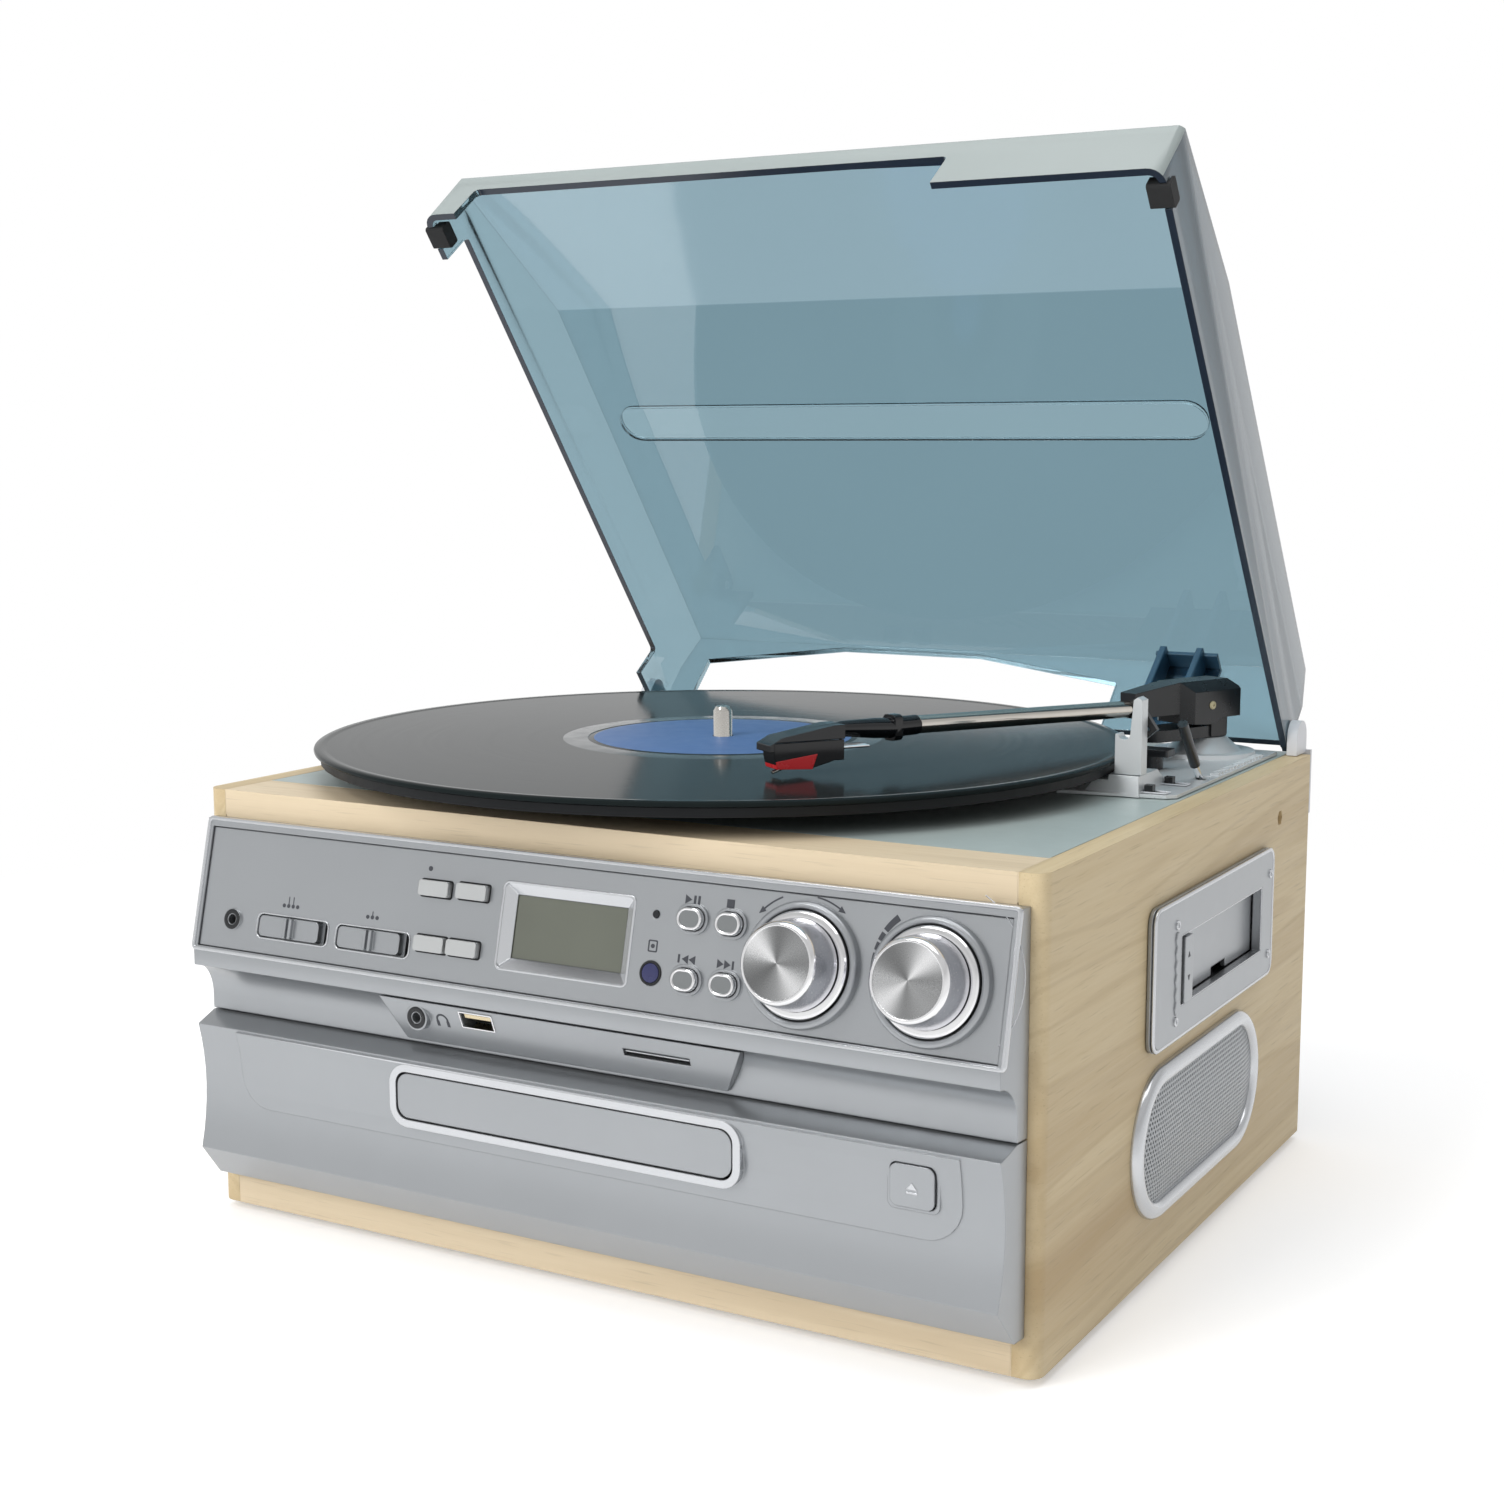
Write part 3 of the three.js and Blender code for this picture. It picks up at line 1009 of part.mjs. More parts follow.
// Disc tray: door, plate with its round dish and the middle bore; and the loader it runs in
function discTray() {
  const y0 = tray.front;
  const door = alongY(rounded(-tray.half, tray.half, tray.z0, tray.z1, tray.r), y0, y0 + tray.doorT,
    bend);
  const plateZ1 = tray.z2 + tray.t;
  const plateShape = rounded(-tray.plateW, tray.plateW, y0 + tray.doorT - over, y0 + tray.plateL,
    tray.backR);
  const cy = y0 + tray.plateL - tray.discR - tray.surround;
  let solid = join(door, alongZ(plateShape, tray.z2, plateZ1, bend),
    block(-tray.plateW, tray.plateW, y0 + over, y0 + tray.backR * 2, tray.z2, plateZ1));
  solid = cut(solid,
    moved(rod(tray.discR, plateZ1 - tray.dish, plateZ1 + over, fine / 2), 0, cy, 0),
    moved(rod(tray.bore, tray.z2 - over, plateZ1, round), 0, cy, 0),
    block(-tray.bore, tray.bore, cy, y0 + tray.plateL + over, tray.z2 - over, plateZ1 + over));
  piece('disc_tray', solid, look.silver);
  const l = loader;
  let box = block(-l.half, l.half, l.y0, l.y1, l.z0, l.z1);
  box = cut(box, block(-l.half + l.wall, l.half - l.wall, l.y0 - over, l.y1 - l.wall, l.z0 + l.floor,
    l.z1 + over));
  const railLen = (l.y1 - l.y0) / 2;
  for (const sign of [-1, 1]) {
    const x0 = sign > 0 ? tray.plateW - l.slideR * 2 : -l.half + l.wall - over;
    const x1 = sign > 0 ? l.half - l.wall + over : -tray.plateW + l.slideR * 2;
    box = join(box, block(x0, x1, l.y0, l.y0 + railLen, tray.z2 - gap - l.slideR * 2, tray.z2 - gap));
  }
  const hub = turned([[0, l.z0 + over], [l.hubR, l.z0 + over], [l.hubR, tray.z2 - gap * 2],
    [l.hubR / 2, tray.z2 - gap],
    [l.hubR / 2, tray.z2 + over], [0, tray.z2 + over]], small);
  piece('disc_loader', join(box, moved(hub, 0, cy, 0)), look.black);
}

// Cassette door on the right side, in (y, z) outlines pulled along X
function cassette() {
  const t = tape;
  const x0 = halfW + gap;
  const x1 = halfW + gap + t.t;
  const shape = (grow) => rounded(t.y0 - grow, t.y1 + grow, t.z0 - grow, t.z1 + grow, t.r);
  let solid = join(alongX(shape(0), x0, x1 - t.bevel, corner), alongX(shape(-t.bevel), x0, x1, corner));
  const sleeve = rounded(t.boardY0 + gap, t.boardY1 - gap, t.boardZ0 + gap, t.boardZ1 - gap, over);
  solid = join(solid, alongX(sleeve, innerX - gap, x0 + over, corner));
  const mouth = block(innerX - over, x1 + over, t.openY0, t.openY1, t.openZ0, t.openZ1);
  const inner = block(innerX - over, x0 - over, t.boardY0 + t.t, t.boardY1 - t.t, t.boardZ0 + t.t,
    t.boardZ1 - t.t);
  piece('cassette_plate', cut(solid, mouth, inner), look.silver);
  const f = flap;
  const fx1 = f.x0 + f.t;
  let door = alongX(rounded(f.y0 + gap, f.y1, f.z0, f.z1, over / 2), f.x0, fx1, corner);
  const barrel = alongY(circle(f.x0 + f.t / 2, f.axisZ, f.hinge), t.boardY0 + t.t + gap,
    t.boardY1 - t.t - gap, tiny);
  const mid = (f.y0 + f.y1) / 2;
  const notch = block(f.x0 - over, fx1 + over, mid - f.notchW / 2, mid + f.notchW / 2, f.z0 - over,
    f.z0 + f.notchH);
  door = cut(join(door, barrel), notch);
  piece('cassette_flap', door, look.silver);
  const k = tapeKey;
  const key0 = alongX(rounded(k.y0, k.y1, k.z0, k.z1, over), k.in, k.out, corner);
  piece('cassette_key', key0, look.silver);
  const d = deckBox;
  let box = block(d.x0, innerX - gap * 2, d.y0, d.y1, d.z0, d.z1);
  box = cut(box, block(d.x0 + d.wall, innerX, flap.y0, d.y1 - d.wall, d.z0 + d.wall, d.z1 - d.wall),
    block(k.in - k.travel - over, innerX, k.y0 - gap, k.y1 + gap, k.z0 - gap, k.z1 + gap));
  piece('cassette_mechanism', box, look.black);
}

// Oval speakers: ring with its domed mesh outside the board, driver behind
function speakers() {
  const h = horn;
  for (const [name, inner, sign] of [['speaker_right', 'driver_right', 1],
    ['speaker_left', 'driver_left', -1]]) {
    const x0 = halfW + gap;
    let ring = join(alongX(racetrack(0), x0, x0 + h.rise - h.lead, bend),
      alongX(racetrack(h.lead), x0, x0 + h.rise, bend));
    ring = join(ring, alongX(racetrack(h.boardIn + gap), innerX + over, x0 + over, bend));
    ring = cut(ring, alongX(racetrack(h.ring), x0 + h.plate, x0 + h.rise + over, bend),
      alongX(racetrack(h.boardIn + h.ring / 2), innerX, x0 + h.plate - over / 2, bend));
    ring = join(ring, alongX(racetrack(h.ring + h.lead), x0 + h.plate - gap, x0 + h.dome, bend));
    const d = driver;
    const front = innerX - gap;
    const cup = [];
    const steps = 2;
    for (let i = 0; i < steps; i++) {
      const share = 1 - (1 - d.neck) * i / steps;
      const l = h.halfL * d.cone * share;
      const v = h.halfH * d.cone * share;
      cup.push(alongX(ellipse(h.y, h.z, l, v), front - d.flange - d.depth * (i + 1) / steps,
        front - d.flange - d.depth * i / steps + gap, small));
    }
    let can = join(alongX(racetrack(gap), front - d.flange, front, bend), ...cup,
      alongX(circle(h.y, h.z, d.magnetR), front - d.flange - d.depth - d.magnetH,
        front - d.flange - d.depth + gap, small));
    can = cut(can, alongX(ellipse(h.y, h.z, h.halfL * d.cone - d.flange, h.halfH * d.cone - d.flange),
      front - d.depth / steps, front + over, small));
    piece(name, sign > 0 ? ring : ring.mirror([1, 0, 0]), look.silver);
    piece(inner, sign > 0 ? can : can.mirror([1, 0, 0]), look.black);
  }
}

// Circuit board on its posts, and the mains transformer
function insides() {
  const b = board;
  let solid = block(b.x0, b.x1, b.y0, b.y1, b.z, b.z + b.t);
  for (const x of [b.x0 + b.chip, b.x1 - b.chip]) {
    for (const y of [b.y0 + b.chip, b.y1 - b.chip]) {
      solid = join(solid, moved(rod(b.stand, cab.bottom + gap, b.z + over, tiny), x, y, 0));
    }
  }
  for (let i = 0; i < b.chips; i++) {
    const x = b.x0 + (b.x1 - b.x0) * (i + 1) / (b.chips + 1);
    const y = (b.y0 + b.y1) / 2;
    solid = join(solid, block(x - b.chip / 2, x + b.chip / 2, y - b.chip / 2, y + b.chip / 2,
      b.z + b.t - gap, b.z + b.t + b.chipH));
  }
  piece('main_board', solid, look.board);
  const m = mains;
  const z0 = cab.bottom + gap;
  const core = block(m.x - m.w / 2, m.x + m.w / 2, m.y - m.d / 4, m.y + m.d / 4, z0, z0 + m.h);
  const coil = alongZ(rounded(m.x - m.coilW / 2, m.x + m.coilW / 2, m.y - m.d / 2, m.y + m.d / 2,
    m.foot), z0 + m.foot, z0 + m.coilH - m.foot * 2, corner);
  const feet = block(m.x - m.w / 2 - m.foot * 2, m.x + m.w / 2 + m.foot * 2, m.y - m.d / 4,
    m.y + m.d / 4, z0, z0 + m.foot);
  piece('transformer', join(core, coil, feet), look.steel);
}

cabinet();
backPanel();
deckPlate();
armPlate();
turntable();
drive();
armYoke();
armHousing();
armFront();
cartridge();
armRest();
lifting();
toggles();
coverPiece();
coverFittings();
frontUpper();
controlFace();
buttons();
sliders();
knobs();
portPlate();
frontLower();
discTray();
cassette();
speakers();
insides();

// Centre the closed box of all pieces in plan and stand the feet on zero
root.updateMatrixWorld(true);
const whole = new THREE.Box3().setFromObject(root, true);
body.position.set(-(whole.min.x + whole.max.x) / 2, -(whole.min.y + whole.max.y) / 2, -whole.min.z);
root.updateMatrixWorld(true);

export default root;
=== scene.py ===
import json
import math

import bpy
from mathutils import Matrix, Vector

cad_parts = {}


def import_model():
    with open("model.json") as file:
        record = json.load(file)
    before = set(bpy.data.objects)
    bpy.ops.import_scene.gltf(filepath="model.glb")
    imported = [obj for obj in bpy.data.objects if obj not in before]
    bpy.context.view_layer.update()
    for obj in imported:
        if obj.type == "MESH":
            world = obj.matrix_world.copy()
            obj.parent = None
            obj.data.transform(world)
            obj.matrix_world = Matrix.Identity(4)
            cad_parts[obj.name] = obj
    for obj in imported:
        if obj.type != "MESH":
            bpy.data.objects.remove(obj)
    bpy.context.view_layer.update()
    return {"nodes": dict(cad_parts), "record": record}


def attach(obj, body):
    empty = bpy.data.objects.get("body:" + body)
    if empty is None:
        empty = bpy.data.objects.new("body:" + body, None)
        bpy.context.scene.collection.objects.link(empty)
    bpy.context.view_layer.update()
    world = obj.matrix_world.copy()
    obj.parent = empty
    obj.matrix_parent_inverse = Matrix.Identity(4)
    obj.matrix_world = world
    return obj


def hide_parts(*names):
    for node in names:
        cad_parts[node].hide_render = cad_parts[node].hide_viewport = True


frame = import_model()
NODES = frame["nodes"]

# Measures are in millimetres from the middle of the cabinet's underside, as in the part's source.
# SHIFT carries them into the frame, whose origin lies under the middle of the whole part.
MM = 0.001
SHIFT = Vector((5.1, -1.1324, 3.0))
HALF_W = 160.0
AXLE = (-23.3, -5.3)
DISC_TOP = 164.2
PLATE_TOP = 153.8
# Faces that meet at less than SHARP degrees shade as one, and corners nearer than WELD are one.
# MITRE keeps an inset corner from running far out where its edges turn back.
SHARP, WELD, MITRE = 32, 0.002, 0.3
GROOVE_PITCH, GROOVE_DEPTH = 1.1, 0.002
SHADOW_TINT, ACRYLIC_IOR, VINYL_IOR = (0.68, 0.76, 0.79, 1), 1.49, 1.1
ARM_PIVOT, ARM_TURN = (125.3, 109, 0), math.radians(-22.8)
HEAD_REACH, HEAD_TURN = 186, math.radians(-12)
# The sloping front: its top edge, its run and rise, and how deep the control face lies in it
SLOPE_TOP = Vector((0, -139.9, 141.8))
SLOPE_RUN, SLOPE_RISE = 10.7, 43.1
SLOPE_LEAN = math.atan2(SLOPE_RUN, SLOPE_RISE)
FACE_SINK = 0.8
# The open cover: its hinge and how far it is turned
COVER_HINGE = Vector((0, 132.8, 158.9))
COVER_TURN = math.radians(52.07)
# The socket plate: its place, and the cosine and sine of its lean
PORT_AT = (0, -142.4, 75.2)
PORT_COS, PORT_SIN = 0.924, 0.382


def axes(x, y, z, origin):
    """A frame from its three directions and its origin."""
    rows = [[x[i], y[i], z[i], origin[i]] for i in range(3)]
    return Matrix(rows + [[0, 0, 0, 1]])


def facing_front(x=0.0, y=0.0, z=0.0):
    """Right, up and towards the viewer, from a place."""
    return axes((1, 0, 0), (0, 0, 1), (0, -1, 0), (x, y, z))


SLOPE = Matrix.Translation(SLOPE_TOP) @ Matrix.Rotation(-SLOPE_LEAN, 4, "X")
HOOD = Matrix.Translation(COVER_HINGE) @ Matrix.Rotation(-COVER_TURN, 4, "X")
ARM = Matrix.Translation(ARM_PIVOT) @ Matrix.Rotation(ARM_TURN, 4, "Z")
HEAD_BEND = Matrix.Translation((0, -HEAD_REACH, 0)) @ Matrix.Rotation(HEAD_TURN, 4, "Z")
HEAD = ARM @ HEAD_BEND @ Matrix.Translation((0, HEAD_REACH, 0))
# Right, up and outwards on the control face, the two side boards, the arm plate and the socket plate
FACE = SLOPE @ facing_front(y=FACE_SINK)
RIGHT = axes((0, 1, 0), (0, 0, 1), (1, 0, 0), (HALF_W, 0, 0))
LEFT = axes((0, -1, 0), (0, 0, 1), (-1, 0, 0), (-HALF_W, 0, 0))
PLATE = axes((1, 0, 0), (0, 1, 0), (0, 0, 1), (0, 0, PLATE_TOP))
PORT = axes((1, 0, 0), (0, -PORT_SIN, PORT_COS), (0, -PORT_COS, -PORT_SIN), PORT_AT)


# Materials
def linear(r, g, b):
    def one(c):
        c = c / 255
        return c / 12.92 if c <= 0.04045 else ((c + 0.055) / 1.055) ** 2.4

    return (one(r), one(g), one(b), 1.0)


def shade(colour, factor):
    return tuple(min(1.0, c * factor) for c in colour[:3]) + (1.0,)


def fill_ramp(node, stops):
    elements = node.color_ramp.elements
    while len(elements) < len(stops):
        elements.new(0.5)
    for element, (place, colour) in zip(elements, stops):
        element.position = place
        element.color = colour


def new_node(tree, kind, **settings):
    node = tree.nodes.new(kind)
    for key, value in settings.items():
        setattr(node, key, value)
    return node


class Nodes:
    """A small hand for building one material's nodes."""

    def __init__(self, name):
        self.material = bpy.data.materials.new(name)
        self.material.use_nodes = True
        self.tree = self.material.node_tree
        self.bsdf = self.tree.nodes["Principled BSDF"]
        self.out = self.tree.nodes["Material Output"]
        self.coord = self.add("ShaderNodeTexCoord").outputs["Object"]

    def add(self, kind, **settings):
        return new_node(self.tree, kind, **settings)

    def link(self, a, b):
        self.tree.links.new(a, b)

    def feed(self, node, **values):
        """Sets a node's inputs by name: numbers and colours as values, sockets as links."""
        for key, value in values.items():
            socket = node.inputs[key.replace("_", " ")]
            if isinstance(value, (int, float, tuple)):
                socket.default_value = value
            else:
                self.link(value, socket)

    def put(self, **values):
        self.feed(self.bsdf, **values)

    def mapped(self, scale):
        node = self.add("ShaderNodeMapping")
        self.feed(node, Scale=scale, Vector=self.coord)
        return node.outputs["Vector"]

    def noise(self, scale, detail=3.0, rough=0.5, vector=None, distortion=0.0):
        node = self.add("ShaderNodeTexNoise")
        self.feed(node, Scale=scale, Detail=detail, Roughness=rough, Distortion=distortion)
        self.feed(node, Vector=vector or self.coord)
        return node.outputs["Fac"]

    def ramp(self, value, stops):
        node = self.add("ShaderNodeValToRGB")
        fill_ramp(node, stops)
        self.link(value, node.inputs["Fac"])
        return node.outputs["Color"]

    def span(self, value, low, high, start=0.3, end=0.7):
        node = self.add("ShaderNodeMapRange")
        self.feed(node, From_Min=start, From_Max=end, To_Min=low, To_Max=high, Value=value)
        return node.outputs["Result"]

    def math(self, operation, a, b=None):
        node = self.add("ShaderNodeMath", operation=operation)
        for socket, value in zip(node.inputs, (a, b)):
            if value is None:
                continue
            if isinstance(value, (int, float)):
                socket.default_value = value
            else:
                self.link(value, socket)
        return node.outputs["Value"]

    def mix(self, factor, a, b):
        node = self.add("ShaderNodeMix", data_type="RGBA")
        for name, value in (("Factor", factor), ("A", a), ("B", b)):
            socket = [s for s in node.inputs if s.name == name and s.enabled][0]
            if isinstance(value, (int, float, tuple)):
                socket.default_value = value
            else:
                self.link(value, socket)
        return [s for s in node.outputs if s.enabled][0]

    def round_edges(self, radius):
        node = self.add("ShaderNodeBevel", samples=6)
        self.feed(node, Radius=radius * MM)
        return node.outputs["Normal"]

    def bump(self, height, depth, strength=1.0, normal=None):
        node = self.add("ShaderNodeBump")
        self.feed(node, Distance=depth * MM, Strength=strength, Height=height)
        if normal is not None:
            self.feed(node, Normal=normal)
        return node.outputs["Normal"]

    def brush_round(self, strength):
        """Draws the highlights out across rings that run round Z."""
        tangent = self.add("ShaderNodeTangent", direction_type="RADIAL", axis="Z")
        self.put(Anisotropic=strength, Tangent=tangent.outputs["Tangent"])


def moulded(name, colour, rough, metallic=0.0, tint=0.04, grain=900, depth=0.02, edge=0.35, coat=0.0,
            spread=0.05, shine=0.5):
    """Moulded or painted plastic: faint mottling, a fine skin and rounded edges."""
    n = Nodes(name)
    wide = n.noise(35, 2.0)
    base = n.ramp(wide, [(0.3, shade(colour, 1 - tint)), (0.7, shade(colour, 1 + tint))])
    fine = n.noise(grain, 2.0)
    worn = n.noise(120, 4.0, 0.65)
    normal = n.bump(fine, depth, 0.6, n.round_edges(edge))
    n.put(Base_Color=base, Roughness=n.span(worn, rough - spread, rough + spread), Normal=normal)
    n.put(Metallic=metallic, Coat_Weight=coat, Specular_IOR_Level=shine)
    return n.material


def timber(name, along, dark, light):
    """Pale open-pored wood with its grain along one axis."""
    n = Nodes(name)

    def stretched(fine, coarse):
        return n.mapped(tuple(coarse if axis == along else fine for axis in range(3)))

    bands = n.noise(0.55, 2.0, 0.45, stretched(60.0, 3.2), 0.5)
    fibres = n.noise(1.0, 4.0, 0.7, stretched(520.0, 14.0))
    pores = n.noise(1.0, 1.0, 0.5, stretched(1500.0, 60.0))
    base = n.ramp(bands, [(0.25, dark), (0.48, shade(light, 0.96)), (0.75, light)])
    rings = n.math("SINE", n.math("MULTIPLY", bands, 46.0))
    base = n.mix(n.span(rings, 0.0, 0.3, 0.35, 1.0), base, shade(dark, 0.93))
    base = n.mix(n.span(fibres, 0.0, 0.22, 0.35, 0.75), base, dark)
    base = n.mix(n.span(pores, 0.0, 0.3, 0.62, 0.78), base, shade(dark, 0.62))
    normal = n.bump(fibres, 0.06, 0.5, n.round_edges(0.35))
    n.put(Base_Color=base, Roughness=n.span(fibres, 0.42, 0.58), Normal=normal)
    return n.material


def turned_metal(name, colour, rough, spun=0.0, sheen=None):
    """Chromed or spun metal; spun draws highlights out from the axis, and sheen sets the angle of a bright
    bow-tie highlight painted into the base colour.
    """
    n = Nodes(name)
    streaks = n.noise(140, 3.0)
    base = n.ramp(streaks, [(0.3, shade(colour, 0.95)), (0.7, colour)])
    fine = n.noise(1800, 2.0)
    # Painted highlight: a bright wedge over a darker rest, a bow-tie reflection painted into the colour.
    if sheen is not None:
        split = n.add("ShaderNodeSeparateXYZ")
        n.link(n.coord, split.inputs[0])
        angle = n.math("ARCTAN2", split.outputs["Y"], split.outputs["X"])
        wave = n.math("COSINE", n.math("SUBTRACT", angle, math.radians(sheen)))
        narrow = n.math("MULTIPLY", n.math("POWER", n.math("ABSOLUTE", wave), 9.0), 0.75)
        wide = n.math("COSINE", n.math("MULTIPLY", n.math("ADD", angle, math.radians(sheen)), 3.0))
        wide = n.math("MULTIPLY", n.math("ADD", wide, 1.0), 0.12)
        wedge = n.math("ADD", narrow, wide)
        base = n.ramp(wedge, [(0.0, shade(colour, 0.5)), (0.3, colour), (1.0, (0.95, 0.95, 0.96, 1))])
    n.put(Base_Color=base, Metallic=1.0, Roughness=n.span(fine, rough * 0.85, rough * 1.15))
    n.put(Normal=n.round_edges(0.2))
    if spun:
        n.brush_round(spun)
    return n.material


def groove_vinyl(name):
    """Pressed vinyl: fine grooves round the axle and a soft radial sheen."""
    n = Nodes(name)
    radius = n.add("ShaderNodeVectorMath", operation="LENGTH")
    flat = n.mapped((1, 1, 0))
    n.link(flat, radius.inputs[0])
    rings = n.math("SINE", n.math("MULTIPLY", radius.outputs["Value"], 2 * math.pi / (GROOVE_PITCH * MM)))
    blend = n.add("ShaderNodeCombineXYZ")
    n.link(n.math("MULTIPLY", radius.outputs["Value"], 260.0), blend.inputs[0])
    bands = n.noise(1.0, 4.0, 0.7, blend.outputs[0])
    dark = (0.009, 0.0125, 0.013, 1)
    pale = (0.013, 0.0175, 0.018, 1)
    n.put(Base_Color=n.ramp(bands, [(0.3, dark), (0.7, pale)]), Roughness=n.span(bands, 0.1, 0.15))
    n.put(Normal=n.bump(rings, GROOVE_DEPTH, 0.5), IOR=VINYL_IOR)
    n.brush_round(0.5)
    return n.material


def smoked(name, tint, rough=0.03, clear_share=1.0):
    """Clear tinted acrylic; its shadow keeps the tint instead of going black."""
    n = Nodes(name)
    haze = n.noise(14, 2.0)
    base = n.ramp(haze, [(0.3, shade(tint, 0.985)), (0.7, tint)])
    n.put(Base_Color=base, Roughness=rough, Transmission_Weight=clear_share, IOR=ACRYLIC_IOR)
    n.put(Normal=n.round_edges(0.5))
    clear = n.add("ShaderNodeBsdfTransparent")
    clear.inputs["Color"].default_value = SHADOW_TINT
    path = n.add("ShaderNodeLightPath")
    mix = n.add("ShaderNodeMixShader")
    n.link(path.outputs["Is Shadow Ray"], mix.inputs[0])
    n.link(n.bsdf.outputs[0], mix.inputs[1])
    n.link(clear.outputs[0], mix.inputs[2])
    n.link(mix.outputs[0], n.out.inputs["Surface"])
    return n.material


# The side boards' wood is darker and yellower than the front rails': painted shade for the sides, which lie out
# of the light that falls on the front.
SIDE_LIGHT = linear(212, 193, 155)
SIDE_DARK = linear(182, 158, 118)
RAIL_LIGHT = linear(222, 204, 174)
RAIL_DARK = linear(198, 178, 146)
SILVER = linear(162, 165, 168)

wood_side_painted_shade = timber("wood_side_painted_shade", 1, SIDE_DARK, SIDE_LIGHT)
wood_rail = timber("wood_rail", 0, RAIL_DARK, RAIL_LIGHT)
fibre = moulded("fibre_board", linear(74, 62, 50), 0.85, tint=0.12, grain=500, depth=0.12)
deck_plastic = moulded("deck_plastic", linear(170, 182, 180), 0.45, 0.1, 0.03, grain=800, depth=0.06)
plate_plastic = moulded("plate_plastic", linear(208, 212, 214), 0.32, 0.3, grain=1100, depth=0.012)
silver_plastic = moulded("silver_plastic", SILVER, 0.3, 0.75, 0.012, 1500, 0.008, 0.6, spread=0.015)
bright_silver = moulded("bright_silver", linear(200, 202, 205), 0.2, 0.85, 0.01, 1500, 0.006, 0.4, spread=0.01)
dark_silver = moulded("dark_silver", linear(124, 127, 128), 0.3, 0.5, 0.01, 1500, 0.002, 0.4, spread=0.01)
key_plastic = moulded("key_plastic", linear(182, 184, 184), 0.3, 0.4, 0.01, 1500, 0.003, 0.6, spread=0.01)
pale_plastic = moulded("pale_plastic", linear(214, 216, 220), 0.4, 0.1, depth=0.015)
cream = moulded("cream_plastic", linear(196, 186, 150), 0.4, depth=0.01)
chromed = turned_metal("chromed", (0.82, 0.82, 0.83, 1), 0.1)
# Both knob faces carry painted bow-tie highlights at two angles; the volume knob's copy is painted lighter, as
# painted light.
spun_painted_glint = turned_metal("spun_painted_glint", (0.38, 0.385, 0.39, 1), 0.28, spun=0.9, sheen=-42)
spun_painted_lit = turned_metal("spun_painted_lit", (0.44, 0.445, 0.45, 1), 0.28, spun=0.9, sheen=48)
satin_metal = turned_metal("satin_metal", (0.72, 0.72, 0.76, 1), 0.24)
tube_metal = turned_metal("tube_metal", (0.60, 0.57, 0.52, 1), 0.14)
steel = turned_metal("steel", (0.62, 0.60, 0.56, 1), 0.25)
brass = turned_metal("brass", (0.72, 0.62, 0.42, 1), 0.3)
black_plastic = moulded("black_plastic", linear(19, 21, 24), 0.3, tint=0.1, grain=1300, depth=0.01)
gloss_black = moulded("gloss_black", linear(14, 16, 20), 0.1, tint=0.1, depth=0.002, spread=0.02)
platter_metal = moulded("platter_metal", linear(20, 22, 24), 0.5, grain=800, shine=0.2)
vinyl = groove_vinyl("vinyl")
rubber = moulded("rubber", linear(34, 35, 36), 0.8, tint=0.12, grain=600, depth=0.06, edge=0.6)
red_plastic = moulded("red_plastic", linear(196, 36, 42), 0.25, grain=800, depth=0.006)
acrylic = smoked("smoked_acrylic", (0.21, 0.335, 0.395, 1))
# Painted reflection: a lighter, rougher tint on the sloping front of the top sheet, for the light it reflects.
acrylic_front_painted_reflection = smoked("acrylic_front_painted_reflection", (0.31, 0.45, 0.52, 1), 0.08)
# Painted reflection: the cover's brow painted opaque pale grey-green for the bright light it reflects.
hood_brow_painted_glare = moulded("hood_brow_painted_glare", linear(154, 164, 163), 0.38, 0.0, 0.015, 1500, 0.003, spread=0.01)
# Painted reflection and shade: the right wall painted a half-clear grey for the light it reflects at a grazing
# angle, darker where it lies away from the light.
hood_flank_painted_reflection = smoked("hood_flank_painted_reflection", linear(112, 124, 132), 0.2, 0.3)
# A lighter tint of the acrylic: on the top band, and on the left wall as painted light that lightens the view
# through it.
hood_band_and_left_painted_reflection = smoked("hood_band_and_left_painted_reflection", (0.38, 0.53, 0.59, 1), 0.1)
hood_edge = moulded("hood_edge", linear(38, 47, 60), 0.15, depth=0.004)
clip_blue = moulded("clip_blue", linear(52, 82, 104), 0.18, tint=0.05, depth=0.004)
display = moulded("display", linear(90, 93, 82), 0.16, tint=0.05, grain=300, depth=0.004, coat=0.6)
circuit = moulded("circuit_board", linear(60, 116, 78), 0.5, tint=0.15, grain=300, depth=0.05)
# Near black: the real dark speaker cloth and lens rim, and painted shade in the knob grooves, dial wells and
# key gaps.
black_and_gap_shade = moulded("black_and_gap_shade", linear(30, 31, 33), 0.7, tint=0.1, grain=500)
print_grey = moulded("print_grey", linear(58, 60, 66), 0.5, tint=0.03, grain=400, depth=0.002, edge=0.05)
lens_blue = moulded("lens_blue", linear(38, 41, 84), 0.25, tint=0.06, grain=300, depth=0.004, coat=0.2)
label_blue = moulded("label_blue", linear(80, 112, 162), 0.5, tint=0.03, grain=1600, depth=0.01)
# Painted sheen: the plain vinyl round the label, painted lighter grey for the light its smooth face reflects.
lead_out = moulded("lead_out", linear(58, 64, 66), 0.2, grain=1200, depth=0.004)

FINISH = {
    "wood": wood_side_painted_shade, "fibre": fibre, "deck_plastic": deck_plastic, "plate_plastic": plate_plastic,
    "silver_plastic": silver_plastic, "chromed": chromed, "steel": steel, "brass": brass,
    "black_plastic": black_plastic, "platter": platter_metal, "vinyl": vinyl, "rubber": rubber,
    "red_plastic": red_plastic, "smoked_acrylic": acrylic, "display": display, "circuit_board": circuit,
}
